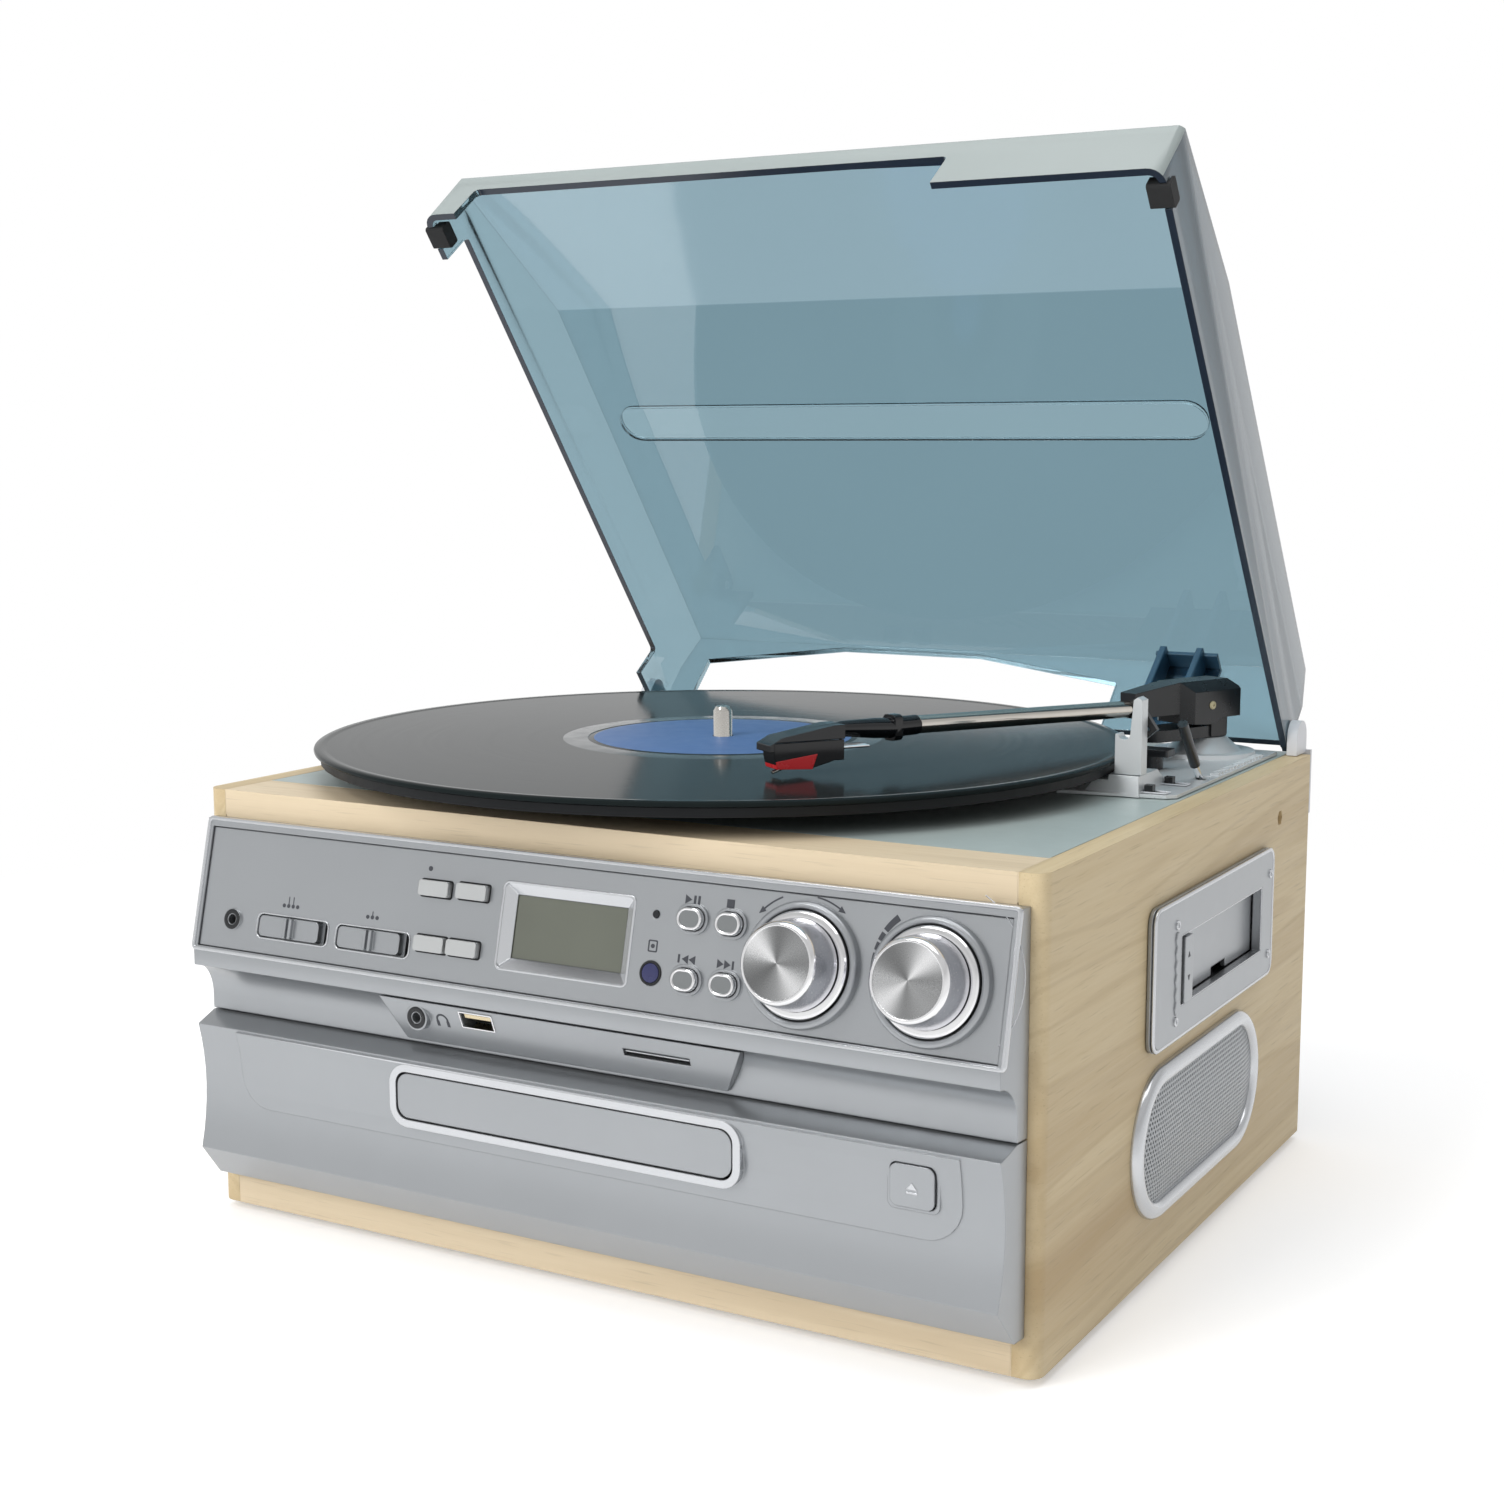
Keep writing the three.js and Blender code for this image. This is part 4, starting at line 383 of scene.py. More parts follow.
# Pieces whose finish differs from that of their material's other pieces
OWN = {
    "top_rail": wood_rail, "base_board": wood_rail, "hinge_left": pale_plastic, "hinge_right": pale_plastic,
    "arm_plate": plate_plastic, "arm_tube": tube_metal, "headshell": gloss_black, "cartridge": gloss_black,
}
OWN.update({f"{key}_button": key_plastic for key in ("rec", "mode", "del", "prog")})
OWN.update({f"{key}_button": dark_silver for key in ("play", "stop", "previous", "next")})
# Directions of the open cover's own frame, and tests that pick faces: kind, direction, from, to
ACROSS, FORWARD, UP = (1, 0, 0), (0, 1, 0), (0, 0, 1)
HOOD_S = (0, -math.cos(COVER_TURN), math.sin(COVER_TURN))
HOOD_T = (0, math.sin(COVER_TURN), math.cos(COVER_TURN))
FACE_UP = (0, math.sin(SLOPE_LEAN), math.cos(SLOPE_LEAN))
FACE_OUT = (0, -math.cos(SLOPE_LEAN), math.sin(SLOPE_LEAN))


def facing(direction, limit):
    """A test for faces that look along a direction, or against it where limit is negative."""
    return ("normal", direction, limit, None) if limit > 0 else ("normal", direction, None, limit)


def within(direction, low, high=None, origin=Vector((0, 0, 0))):
    """A test for faces that lie between two places of the source along a direction."""
    start = (origin + SHIFT).dot(Vector(direction))
    return ("place", direction, *(None if v is None else (v + start) * MM for v in (low, high)))


# The cover's places: its side walls, its brow, the start of its sloping front, its top sheet and its rim
WALL_RIGHT, WALL_LEFT = 140, -130
BROW_S, FRONT_S, HEEL_S = 245, 188, -3
TOP_T, RIM_T = 40.7, 20
BEZEL_X, BEZEL_UP, BEZEL_OUT = (-24.9, 25.4), (-37.4, -9.1), -0.95
DOOR_X, DOOR_UP, DOOR_FRONT = (-68, 68), (46.5, 68.8), -149.3
TRAY_FRONT, LEVER_FOOT, STYLUS_TOP = -147.1, 158.6, 166.3

PAINT = {
    "cover": (
        # The right wall gets its painted reflection and shade.
        (hood_flank_painted_reflection, (facing(ACROSS, 0.6), within(ACROSS, WALL_RIGHT))),
        # The left wall gets the lighter tint as painted light.
        (hood_band_and_left_painted_reflection, (facing(ACROSS, -0.6), within(ACROSS, None, WALL_LEFT))),
        # The brow gets its painted reflection.
        (hood_brow_painted_glare, (facing(HOOD_S, 0.5), within(HOOD_S, BROW_S, None, COVER_HINGE))),
        # The sloping front gets its painted reflection.
        (acrylic_front_painted_reflection, (facing(HOOD_T, 0.8), within(HOOD_S, FRONT_S, None, COVER_HINGE))),
        (acrylic_front_painted_reflection, (facing(HOOD_T, -0.8), within(HOOD_S, FRONT_S, None, COVER_HINGE))),
        # The top band gets the lighter tint.
        (hood_band_and_left_painted_reflection, (facing(HOOD_T, 0.9), within(HOOD_T, TOP_T, None, COVER_HINGE))),
        (hood_edge, (facing(HOOD_T, -0.8), within(HOOD_T, None, RIM_T, COVER_HINGE))),
        (hood_edge, (facing(HOOD_T, -0.3), within(HOOD_S, None, HEEL_S, COVER_HINGE))),
    ),
    "control_face": (
        (bright_silver, (within(ACROSS, *BEZEL_X), within(FACE_UP, *BEZEL_UP, SLOPE_TOP),
                         within(FACE_OUT, None, BEZEL_OUT, SLOPE_TOP))),
    ),
    "disc_tray": ((black_plastic, (within(FORWARD, TRAY_FRONT),)),),
    "lift_lever": ((chromed, (within(UP, None, LEVER_FOOT),)),),
    "cartridge": ((steel, (within(UP, None, STYLUS_TOP),)),),
    "front_lower": (
        (bright_silver, (within(ACROSS, *DOOR_X), within(UP, *DOOR_UP), within(FORWARD, None, DOOR_FRONT))),
    ),
}


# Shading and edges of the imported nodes
def geometry_group(name):
    group = bpy.data.node_groups.new(name, "GeometryNodeTree")
    for way in ("INPUT", "OUTPUT"):
        group.interface.new_socket("Geometry", in_out=way, socket_type="NodeSocketGeometry")
    return group


def smooth_group():
    """Joins the split corners and shades smooth wherever two faces meet at less than SHARP."""
    group = geometry_group("smooth_by_angle")
    add = group.nodes.new
    start, end = add("NodeGroupInput"), add("NodeGroupOutput")
    bare = add("GeometryNodeRemoveAttribute")
    bare.inputs["Name"].default_value = "custom_normal"
    merge = add("GeometryNodeMergeByDistance")
    merge.inputs["Distance"].default_value = WELD * MM
    faces = new_node(group, "GeometryNodeSetShadeSmooth", domain="FACE")
    faces.inputs["Shade Smooth"].default_value = True
    angle = add("GeometryNodeInputMeshEdgeAngle")
    compare = new_node(group, "FunctionNodeCompare", data_type="FLOAT", operation="LESS_THAN")
    edges = new_node(group, "GeometryNodeSetShadeSmooth", domain="EDGE")
    link = group.links.new
    link(start.outputs[0], bare.inputs["Geometry"])
    link(bare.outputs[0], merge.inputs["Geometry"])
    link(merge.outputs[0], faces.inputs["Geometry"])
    link(faces.outputs[0], edges.inputs["Geometry"])
    link(angle.outputs["Unsigned Angle"], compare.inputs[0])
    compare.inputs[1].default_value = math.radians(SHARP)
    link(compare.outputs[0], edges.inputs["Shade Smooth"])
    link(edges.outputs[0], end.inputs[0])
    return group


def paint_group(name, rules):
    """Gives the faces that pass all tests of a rule its material; a later rule wins."""
    group = geometry_group(name)
    add, link = group.nodes.new, group.links.new
    fields = {
        "normal": add("GeometryNodeInputNormal").outputs[0],
        "place": add("GeometryNodeInputPosition").outputs[0],
    }
    last = add("NodeGroupInput").outputs[0]
    for material, tests in rules:
        chosen = None
        for kind, direction, low, high in tests:
            along = new_node(group, "ShaderNodeVectorMath", operation="DOT_PRODUCT")
            along.inputs[1].default_value = direction
            link(fields[kind], along.inputs[0])
            for limit, operation in ((low, "GREATER_THAN"), (high, "LESS_THAN")):
                if limit is None:
                    continue
                test = new_node(group, "FunctionNodeCompare", data_type="FLOAT", operation=operation)
                link(along.outputs["Value"], test.inputs[0])
                test.inputs[1].default_value = limit
                if chosen is None:
                    chosen = test.outputs[0]
                    continue
                both = new_node(group, "FunctionNodeBooleanMath", operation="AND")
                link(chosen, both.inputs[0])
                link(test.outputs[0], both.inputs[1])
                chosen = both.outputs[0]
        coat = add("GeometryNodeSetMaterial")
        coat.inputs["Material"].default_value = material
        link(last, coat.inputs["Geometry"])
        link(chosen, coat.inputs["Selection"])
        last = coat.outputs[0]
    link(last, add("NodeGroupOutput").inputs[0])
    return group


SMOOTH = smooth_group()


def dress_nodes():
    slots = {m["slot"]: m["nodes"] for m in frame["record"]["materials"] if "nodes" in m}
    for name, obj in NODES.items():
        slot = obj.material_slots[0].material.name.split(".")[0] if obj.material_slots else "silver_plastic"
        for owner, members in slots.items():
            if name in members:
                slot = owner
        finish = OWN.get(name, FINISH.get(slot, silver_plastic))
        obj.material_slots[0].material = finish
        obj.modifiers.new("smooth", "NODES").node_group = SMOOTH
        if name in PAINT:
            obj.modifiers.new("paint", "NODES").node_group = paint_group("paint_" + name, PAINT[name])


# Building new pieces
def new_object(name, data):
    obj = bpy.data.objects.new(name, data)
    bpy.context.scene.collection.objects.link(obj)
    return obj


def piece(name, verts, faces, material, body, slot, place, angle=SHARP):
    """A mesh in millimetres of its own frame; place puts that frame into the source's frame."""
    mesh = bpy.data.meshes.new(name)
    mesh.from_pydata([Vector(v) for v in verts], [], faces)
    mesh.transform(Matrix.Scale(MM, 4))
    mesh.update()
    mesh.shade_smooth()
    mesh.set_sharp_from_angle(angle=math.radians(angle))
    obj = new_object(name, mesh)
    moved = place.copy()
    moved.translation = place.translation * MM
    obj.matrix_world = Matrix.Translation(SHIFT * MM) @ moved
    mesh.materials.append(material)
    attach(obj, body)
    return obj


def lathe(profile, segments=96):
    """Turns (radius, height) points round Z; a last point on the axis is one corner."""
    verts, faces, rings = [], [], []
    for r, h in profile:
        turns = [2 * math.pi * i / segments for i in range(segments)] if r else [0]
        rings.append(range(len(verts), len(verts) + len(turns)))
        verts += [(r * math.cos(a), r * math.sin(a), h) for a in turns]
    for low, high in zip(rings, rings[1:]):
        for i in range(segments):
            j = (i + 1) % segments
            if len(high) == 1:
                faces.append((low[i], low[j], high[0]))
            else:
                faces.append((low[i], low[j], high[j], high[i]))
    return verts, faces


def loft(rings, closed=True):
    """Joins outlines of equal length one after the other; closed joins the last to the first."""
    n = len(rings[0])
    verts = [p for ring in rings for p in ring]
    faces = []
    for k in range(len(rings) if closed else len(rings) - 1):
        m = (k + 1) % len(rings)
        for i in range(n):
            j = (i + 1) % n
            faces.append((k * n + i, k * n + j, m * n + j, m * n + i))
    return verts, faces


def prism(loop, h0, h1, chamfer=0.0):
    """A closed outline pulled from h0 to h1, with a small chamfer at the top."""
    layers = [(loop, h0), (loop, h1 - chamfer)]
    if chamfer > 0:
        layers.append((inset(loop, chamfer), h1))
    verts, faces = loft([[(u, v, h) for u, v in outline] for outline, h in layers], False)
    n = len(loop)
    faces.insert(0, tuple(reversed(range(n))))
    faces.append(tuple(range(len(verts) - n, len(verts))))
    return verts, faces


def inset(loop, d):
    """Moves each corner of an anticlockwise outline inwards by d."""
    out = []
    n = len(loop)
    for i in range(n):
        a, b, c = (Vector(loop[k % n]) for k in (i - 1, i, i + 1))
        e1, e2 = (b - a).normalized(), (c - b).normalized()
        n1, n2 = Vector((-e1.y, e1.x)), Vector((-e2.y, e2.x))
        m = n1 + n2
        m = m / max(m.dot(n1), MITRE)
        out.append(tuple(b + m * d))
    return out


def join(*parts):
    verts, faces = [], []
    for v, f in parts:
        base = len(verts)
        verts += list(v)
        faces += [tuple(i + base for i in face) for face in f]
    return verts, faces


def round_rect(x0, x1, y0, y1, r, steps=5):
    loop = []
    corners = ((x1 - r, y0 + r, -90), (x1 - r, y1 - r, 0), (x0 + r, y1 - r, 90), (x0 + r, y0 + r, 180))
    for cx, cy, start in corners:
        for i in range(steps + 1):
            a = math.radians(start + 90 * i / steps)
            loop.append((cx + r * math.cos(a), cy + r * math.sin(a)))
    return loop


def disc_loop(x, y, r, count=24):
    turns = [2 * math.pi * i / count for i in range(count)]
    return [(x + r * math.cos(a), y + r * math.sin(a)) for a in turns]


def arc_band(x, y, r, width, a0, a1, steps=20, w1=None):
    """A strip along an arc, from angle a0 to a1, degrees anticlockwise from the right."""
    w1 = width if w1 is None else w1
    outer, inner = [], []
    for i in range(steps + 1):
        t = i / steps
        a = math.radians(a0 + (a1 - a0) * t)
        w = (width + (w1 - width) * t) / 2
        outer.append((x + (r + w) * math.cos(a), y + (r + w) * math.sin(a)))
        inner.append((x + (r - w) * math.cos(a), y + (r - w) * math.sin(a)))
    loop = outer + inner[::-1]
    return loop if a1 > a0 else loop[::-1]


# Record, label and lead-out, the lead-out painted lighter as a sheen: radii, and heights over the disc's top
HOLE_R, LABEL_R, RIM_R = 3.75, 48.6, 150.8
FIELD_IN, FIELD_OUT = 53.2, 145.8
FIELD_H, RECORD_LOW = -0.2, -1.9
TRACK_GAPS = (78.0, 93.0, 109.0, 124.0)
TRACK_GAP = ((-1.0, 0.0), (-0.4, 0.0), (0.0, 0.015), (0.4, 0.0), (1.0, 0.0))
LABEL = [(3.9, -0.04), (3.9, 0.02), (47.9, 0.02), (48.3, -0.04)]
LEAD_OUT_SHEEN = [(50.5, -0.34), (50.6, -0.17), (59.6, -0.17), (59.9, -0.22)]


def record():
    """The disc with its raised rim and sunk field, its label, and the plain ring round it painted lighter grey
    as a sheen.
    """
    foot = (HOLE_R, RECORD_LOW + 0.2)
    profile = [foot, (HOLE_R, -0.25), (HOLE_R + 0.4, -0.05), (LABEL_R, -0.05), (50.0, -0.3)]
    profile += [(52.5, -0.32), (FIELD_IN, FIELD_H), (54.0, FIELD_H), (60.5, FIELD_H)]
    profile += [(gap + step, FIELD_H - sink) for gap in TRACK_GAPS for step, sink in TRACK_GAP]
    profile += [(FIELD_OUT, FIELD_H), (146.6, FIELD_H), (147.6, -0.02), (149.9, 0.0), (150.6, -0.35)]
    profile += [(RIM_R, -0.9), (150.6, RECORD_LOW + 0.35), (149.9, RECORD_LOW)]
    profile += [(HOLE_R + 0.2, RECORD_LOW), foot]
    place = Matrix.Translation((AXLE[0], AXLE[1], DISC_TOP))
    disc = piece("record_disc", *lathe(profile, 240), vinyl, "turntable", "vinyl", place, 40)
    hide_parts("record")
    piece("record_label", *lathe(LABEL, 128), label_blue, "turntable", "vinyl", place)
    piece("record_lead_out", *lathe(LEAD_OUT_SHEEN, 128), lead_out, "turntable", "vinyl", place)


# Knobs: polished skirt, a dark ring painted in as the groove's shade, conical body and a spun face with a
# painted highlight, as radii and heights
SKIRT = [(13.0, 0.0), (16.0, 0.0), (16.3, 0.25), (16.4, 1.2), (16.3, 2.3), (15.8, 2.95), (15.0, 3.2),
         (14.1, 3.2)]
KNOB_BODY = [(13.7, 3.25), (13.7, 3.9), (14.0, 3.95), (14.0, 4.4), (12.6, 14.4)]
KNOB_BEVEL = [(12.6, 14.4), (12.45, 14.9), (12.1, 15.6), (11.6, 16.0), (11.1, 16.05), (10.95, 15.95)]
KNOB_CAP = [(10.95, 15.95), (10.8, 15.75), (4.0, 15.66), (0.0, 15.6)]
# A dark ring painted in as the shade of the groove under the knob's body.
KNOB_GROOVE_SHADE = [(13.66, 3.22), (13.86, 3.22), (13.86, 3.93), (13.66, 3.93)]
DIAL_RING = [(16.95, -0.6), (16.85, 1.5), (17.2, 2.0), (17.9, 2.25), (18.6, 2.0), (19.1, 1.3), (19.3, 0.4),
             (19.35, -0.85)]
# A dark sleeve painted in as the shade of the well between the ring and the knob.
DIAL_WELL_SHADE = [(16.86, -0.8), (16.86, 0.9), (16.5, 0.9), (16.5, -0.8)]
TUNING_AT = (86.4, -23.4)
VOLUME_AT = (128.8, -23.3)


def knob(dial, centre, face):
    """One dial: the turning knob with a dark ring painted in as its groove's shade, and round it the fixed ring
    and a dark sleeve painted in as the well's shade.
    """
    name = dial + "_knob"
    place = SLOPE @ facing_front(x=centre[0], z=centre[1])
    parts = (("skirt", SKIRT, chromed), ("body", KNOB_BODY, satin_metal), ("bevel", KNOB_BEVEL, chromed),
             ("cap", KNOB_CAP, face))
    shell, *_ = [piece(f"{name}_{part}", *lathe(profile), finish, name, "chromed", place, 28)
                 for part, profile, finish in parts]
    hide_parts(name)
    # Painted shade in the groove under the knob's body.
    piece(name + "_groove", *lathe(KNOB_GROOVE_SHADE), black_and_gap_shade, name, "black_plastic", place)
    piece(dial + "_ring", *lathe(DIAL_RING), silver_plastic, "cabinet", "silver_plastic", place, 50)
    # Painted shade in the well round the knob.
    piece(dial + "_well", *lathe(DIAL_WELL_SHADE), black_and_gap_shade, "cabinet", "black_plastic", place)


# Speakers: a convex ring, a domed sheet with staggered holes, and dark cloth under it
SPEAKER_AT = (4.5, 44.7)
RING_L, RING_H = 64.8, 25.8
SHEET_L, SHEET_H = 59.8, 20.8
SHEET_LAP = 0.6
SHEET_THICK = 0.7
SHEET_RISE, DOME_RISE, DOME_POWER = 1.2, 2.2, 2.2
PITCH, HOLE_HALF = 1.8, 0.56
ROW_STEP = PITCH * 0.866
HOLE_SIDES = 12
SPEAKER_RING = [(0.0, 0.0), (0.0, 1.0), (0.5, 2.1), (1.5, 3.0), (3.0, 3.5), (4.5, 3.3), (5.5, 2.6), (6.0, 1.7),
                (6.0, 0.2)]
SPEAKER_CLOTH = [(-0.5, 0.3), (3, 0.9), (8, 1.5), (14, 2.0), (20, 2.3)]


def track(half_l, half_h, count=40):
    """Points of a racetrack round the origin, anticlockwise from its right end."""
    flat = half_l - half_h
    loop = []
    for side, start in ((1, -90), (-1, 90)):
        for i in range(count + 1):
            a = math.radians(start + 180 * i / count)
            loop.append((side * flat + half_h * math.cos(a), half_h * math.sin(a)))
    return loop


def track_depth(u, v, half_l, half_h):
    """Distance inwards from the racetrack's edge."""
    flat = half_l - half_h
    return half_h - math.hypot(max(abs(u) - flat, 0), v)


def perforated_sheet():
    """Six-sided cells, each with its hole and the hole's wall; cells at the edge stay closed."""
    verts, faces, index = [], [], {}

    def vertex(u, v, d):
        key = (round(u, 3), round(v, 3), d)
        if key not in index:
            depth = max(track_depth(u, v, SHEET_L, SHEET_H), 0)
            rise = SHEET_RISE + DOME_RISE * (1 - (1 - min(depth / SHEET_H, 1)) ** DOME_POWER)
            index[key] = len(verts)
            verts.append((u, v, rise - d))
        return index[key]

    rows = int(SHEET_H / ROW_STEP) + 1
    cols = int(SHEET_L / PITCH) + 2
    for row in range(-rows, rows + 1):
        for col in range(-cols, cols + 1):
            cu = (col + (0.5 if row % 2 else 0)) * PITCH
            cv = row * ROW_STEP
            if track_depth(cu, cv, SHEET_L + SHEET_LAP, SHEET_H + SHEET_LAP) < 0:
                continue
            outer, inner = [], []
            for i in range(HOLE_SIDES):
                a = math.radians(360 / HOLE_SIDES * (i + 1))
                far = PITCH / math.sqrt(3) if i % 2 == 0 else PITCH / 2
                outer.append((cu + far * math.cos(a), cv + far * math.sin(a)))
                inner.append((cu + HOLE_HALF * math.cos(a), cv + HOLE_HALF * math.sin(a)))
            closed = track_depth(cu, cv, SHEET_L, SHEET_H) < HOLE_HALF
            for i in range(HOLE_SIDES):
                j = (i + 1) % HOLE_SIDES
                a, b = vertex(*outer[i], 0), vertex(*outer[j], 0)
                c, d = vertex(*inner[j], 0), vertex(*inner[i], 0)
                faces.append((a, b, c, d))
                if not closed:
                    e, f = vertex(*inner[j], SHEET_THICK), vertex(*inner[i], SHEET_THICK)
                    faces.append((d, c, e, f))
            if closed:
                faces.append(tuple(vertex(*p, 0) for p in inner))
    return verts, faces


def speaker(side, plane, way):
    """One side's speaker; way is 1 where the board's own right is the cabinet's back."""
    place = plane @ Matrix.Translation((way * SPEAKER_AT[0], SPEAKER_AT[1], 0))
    rings = [[(u, v, h) for u, v in track(RING_L - d, RING_H - d)] for d, h in SPEAKER_RING]
    ring = piece(f"speaker_ring_{side}", *loft(rings), bright_silver, "cabinet", "silver_plastic", place, 50)
    sheet = perforated_sheet()
    piece(f"speaker_grille_{side}", *sheet, silver_plastic, "cabinet", "silver_plastic", place, 60)
    rings = [[(u, v, h) for u, v in track(SHEET_L - d, SHEET_H - d)] for d, h in SPEAKER_CLOTH]
    verts, faces = loft(rings, False)
    faces.append(tuple(range(len(verts) - len(rings[-1]), len(verts))))
    piece(f"speaker_cloth_{side}", verts, faces, black_and_gap_shade, "cabinet", "black_plastic", place, 60)
    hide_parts(f"speaker_{side}")


# Control face: places are to the right of its middle and up from its top edge
KEY_RIM_SIZE, KEY_RIM_R = (9.0, 7.0), 3.4
WELL_SIZE, WELL_R = (13.3, 6.3), 1.0
SLIDER_RIM_SIZE, SLIDER_RIM_R = (31.8, 8.8), 2.4
KEY_AT = {"play": (46.9, -13.8), "stop": (60.6, -13.9), "previous": (47.2, -32.6), "next": (60.9, -32.5)}
WELL_AT = {"rec": (-52.1, -14.4), "mode": (-36.8, -14), "del": (-51.4, -32.7), "prog": (-38, -32.7)}
SLIDER_AT = {"function": (-111.2, -34.4), "band": (-76.2, -34.4)}
PLAY_MARK_AT, STOP_MARK_AT = (46.0, -7.9), (59.55, -7.7)
PREVIOUS_MARK_AT, NEXT_MARK_AT = (46.1, -26.3), (60.2, -26.3)
VOLUME_MARKS_AT = (129.5, -21.5)
REMOTE_AT, REMOTE_MARK_AT = (33.9, -32), (33.6, -23.6)
POWER_LAMP_AT = (33.5, -13.7)
REC_DOT_AT = (-55.6, -8.0)
AUX_AT = (-138.1, -33.7)
PANEL_BOX, PANEL_R = (-155.2, 155.2, -46.3, 1.5), 2.2
LCD_BOX, LCD_R = (-25.4, 25.9, -37.9, -8.6), 2.4
# Mouldings: distances inwards and heights
BEAD = [(-0.25, -0.1), (-0.2, 0.22), (0.0, 0.34), (0.25, 0.3), (0.38, 0.1), (0.4, -0.2)]
KEY_RIM = [(-0.05, 0.4), (-0.05, 2.4), (0.2, 2.8), (0.55, 2.95), (0.95, 2.8), (1.05, 2.4)]
# The painted shade round the square keys: distances inwards and heights
KEY_WELL_SHADE = [(0, 0.0), (0.05, 0.12), (0.45, 0.12), (0.5, 0.0)]
PRINTED_FRAME = [(0, -0.02), (0, 0.1), (0.45, 0.1), (0.45, -0.02)]
PANEL_EDGING = [(0.0, 0.2), (0.1, 0.75), (0.45, 1.2), (1.0, 1.35), (1.5, 1.2), (1.75, 0.6)]
LCD_RIM = [(0, -0.1), (0.1, 0.2), (0.5, 0.32), (0.9, 0.2), (1.0, -0.4)]
# Turned parts: radii and heights
LENS = [(3.1, 0.0), (3.0, 0.3), (2.0, 0.5), (0.0, 0.58)]
LENS_COLLAR = [(3.9, -0.1), (3.85, 0.3), (3.3, 0.4), (3.1, 0.1), (3.1, -0.1)]
AUX_RING = [(3.6, -0.1), (3.5, 0.9), (2.9, 1.1), (2.0, 0.9), (1.7, 0.2)]
# Volume dashes: angles from and to, width at each end
VOLUME_DASHES = ((130, 146, 2.1, 1.7), (148.5, 155.7, 1.5, 1.3), (157.6, 164.5, 1.1, 0.9), (167, 181, 0.7, 0.4))
# Tuning arrows: radius, the arc's angles, the tip's angle and the way it points
TUNING_ARROWS = ((21.6, 115, 134, 134, 1), (20.8, 60, 83, 60, -1))
# Slider marks: the first dot, how many, the ticks and their top
SLIDER_MARKS = (("function", -116.1, 4, (-114.1, -112.1), -23.4), ("band", -79.3, 3, (-77.3,), -24.6))
DOT_Y, DOT_R, DOT_STEP, TICK_HALF, TICK_LOW = -26.6, 0.7, 2.0, 0.15, -26.0


def on_face(centre):
    return FACE @ Matrix.Translation((centre[0], centre[1], 0))


def mark(name, loops, material=print_grey, plane=FACE, height=0.09):
    """Flat printed shapes that stand a hair above their plane."""
    parts = [prism(loop, -0.05, height) for loop in loops]
    piece(name, *join(*parts), material, "cabinet", "black_plastic", plane)


def trim(name, shape, plane):
    """A bright moulding or fitting of the cabinet."""
    piece(name, *shape, bright_silver, "cabinet", "silver_plastic", plane)


def rect_ring(box, r, section, closed=True):
    """A moulding round a rounded opening: section lists distances inwards and heights."""
    x0, x1, y0, y1 = box
    rings = []
    for d, h in section:
        loop = round_rect(x0 + d, x1 - d, y0 + d, y1 - d, max(r - d, 0.15))
        rings.append([(u, v, h) for u, v in loop])
    return loft(rings, closed)


def box_loop(x0, x1, y0, y1):
    return [(x0, y0), (x1, y0), (x1, y1), (x0, y1)]


def around(x, y, w, h):
    return (x - w / 2, x + w / 2, y - h / 2, y + h / 2)


def bar(x, y, w, h):
    return box_loop(*around(x, y, w, h))


def arrow(x, y, way, size):
    """A small wedge that points right, or left where way is -1."""
    loop = [(x + way * u * size, y + v * size) for u, v in ((0, -1.15), (1.9, 0), (0, 1.15))]
    return loop if way > 0 else loop[::-1]


def play_icons():
    x, y = PLAY_MARK_AT
    mark("play_mark", [arrow(x - 2.6, y, 1, 1.25), bar(x + 0.8, y, 0.8, 2.8), bar(x + 2.3, y, 0.8, 2.8)])
    mark("stop_mark", [bar(*STOP_MARK_AT, 2.7, 2.6)])
    x, y = PREVIOUS_MARK_AT
    mark("previous_mark", [arrow(x + 3.2, y, -1, 1.2), arrow(x + 0.7, y, -1, 1.2), bar(x - 2.65, y, 0.7, 2.6)])
    x, y = NEXT_MARK_AT
    mark("next_mark", [arrow(x - 3.0, y, 1, 1.2), arrow(x - 0.5, y, 1, 1.2), bar(x + 2.55, y, 0.7, 2.6)])


def dial_marks():
    """Two bent arrows over the tuning dial, and dashes and a faint arc round the volume dial."""
    x, y = TUNING_AT
    shafts = [arc_band(x, y, r, 0.5, a0, a1) for r, a0, a1, _, _ in TUNING_ARROWS]
    tips = []
    for r, _, _, tip_angle, turn in TUNING_ARROWS:
        a = math.radians(tip_angle)
        side = Vector((math.cos(a), math.sin(a)))
        ahead = Vector((-math.sin(a), math.cos(a))) * turn
        tip = Vector((x, y)) + side * r
        loop = [tip + ahead * 2.4, tip + side, tip - side]
        tips.append([tuple(v) for v in (loop if turn < 0 else loop[::-1])])
    mark("tuning_arrows", shafts + tips)
    x, y = VOLUME_MARKS_AT
    mark("volume_dashes", [arc_band(x, y, 20.4, w0, a0, a1, 12, w1) for a0, a1, w0, w1 in VOLUME_DASHES])
    mark("volume_arc", [arc_band(x, y, 28.2, 0.35, -38, 62, 24)], bright_silver, FACE, 0.12)


def slider_marks():
    """A row of dots over each slider, with the ticks that lead to its middle places."""
    for name, first, count, ticks, tick_top in SLIDER_MARKS:
        dots = [disc_loop(first + DOT_STEP * i, DOT_Y, DOT_R, 12) for i in range(count)]
        lines = [box_loop(x - TICK_HALF, x + TICK_HALF, TICK_LOW, tick_top) for x in ticks]
        mark(f"{name}_marks", dots + lines)


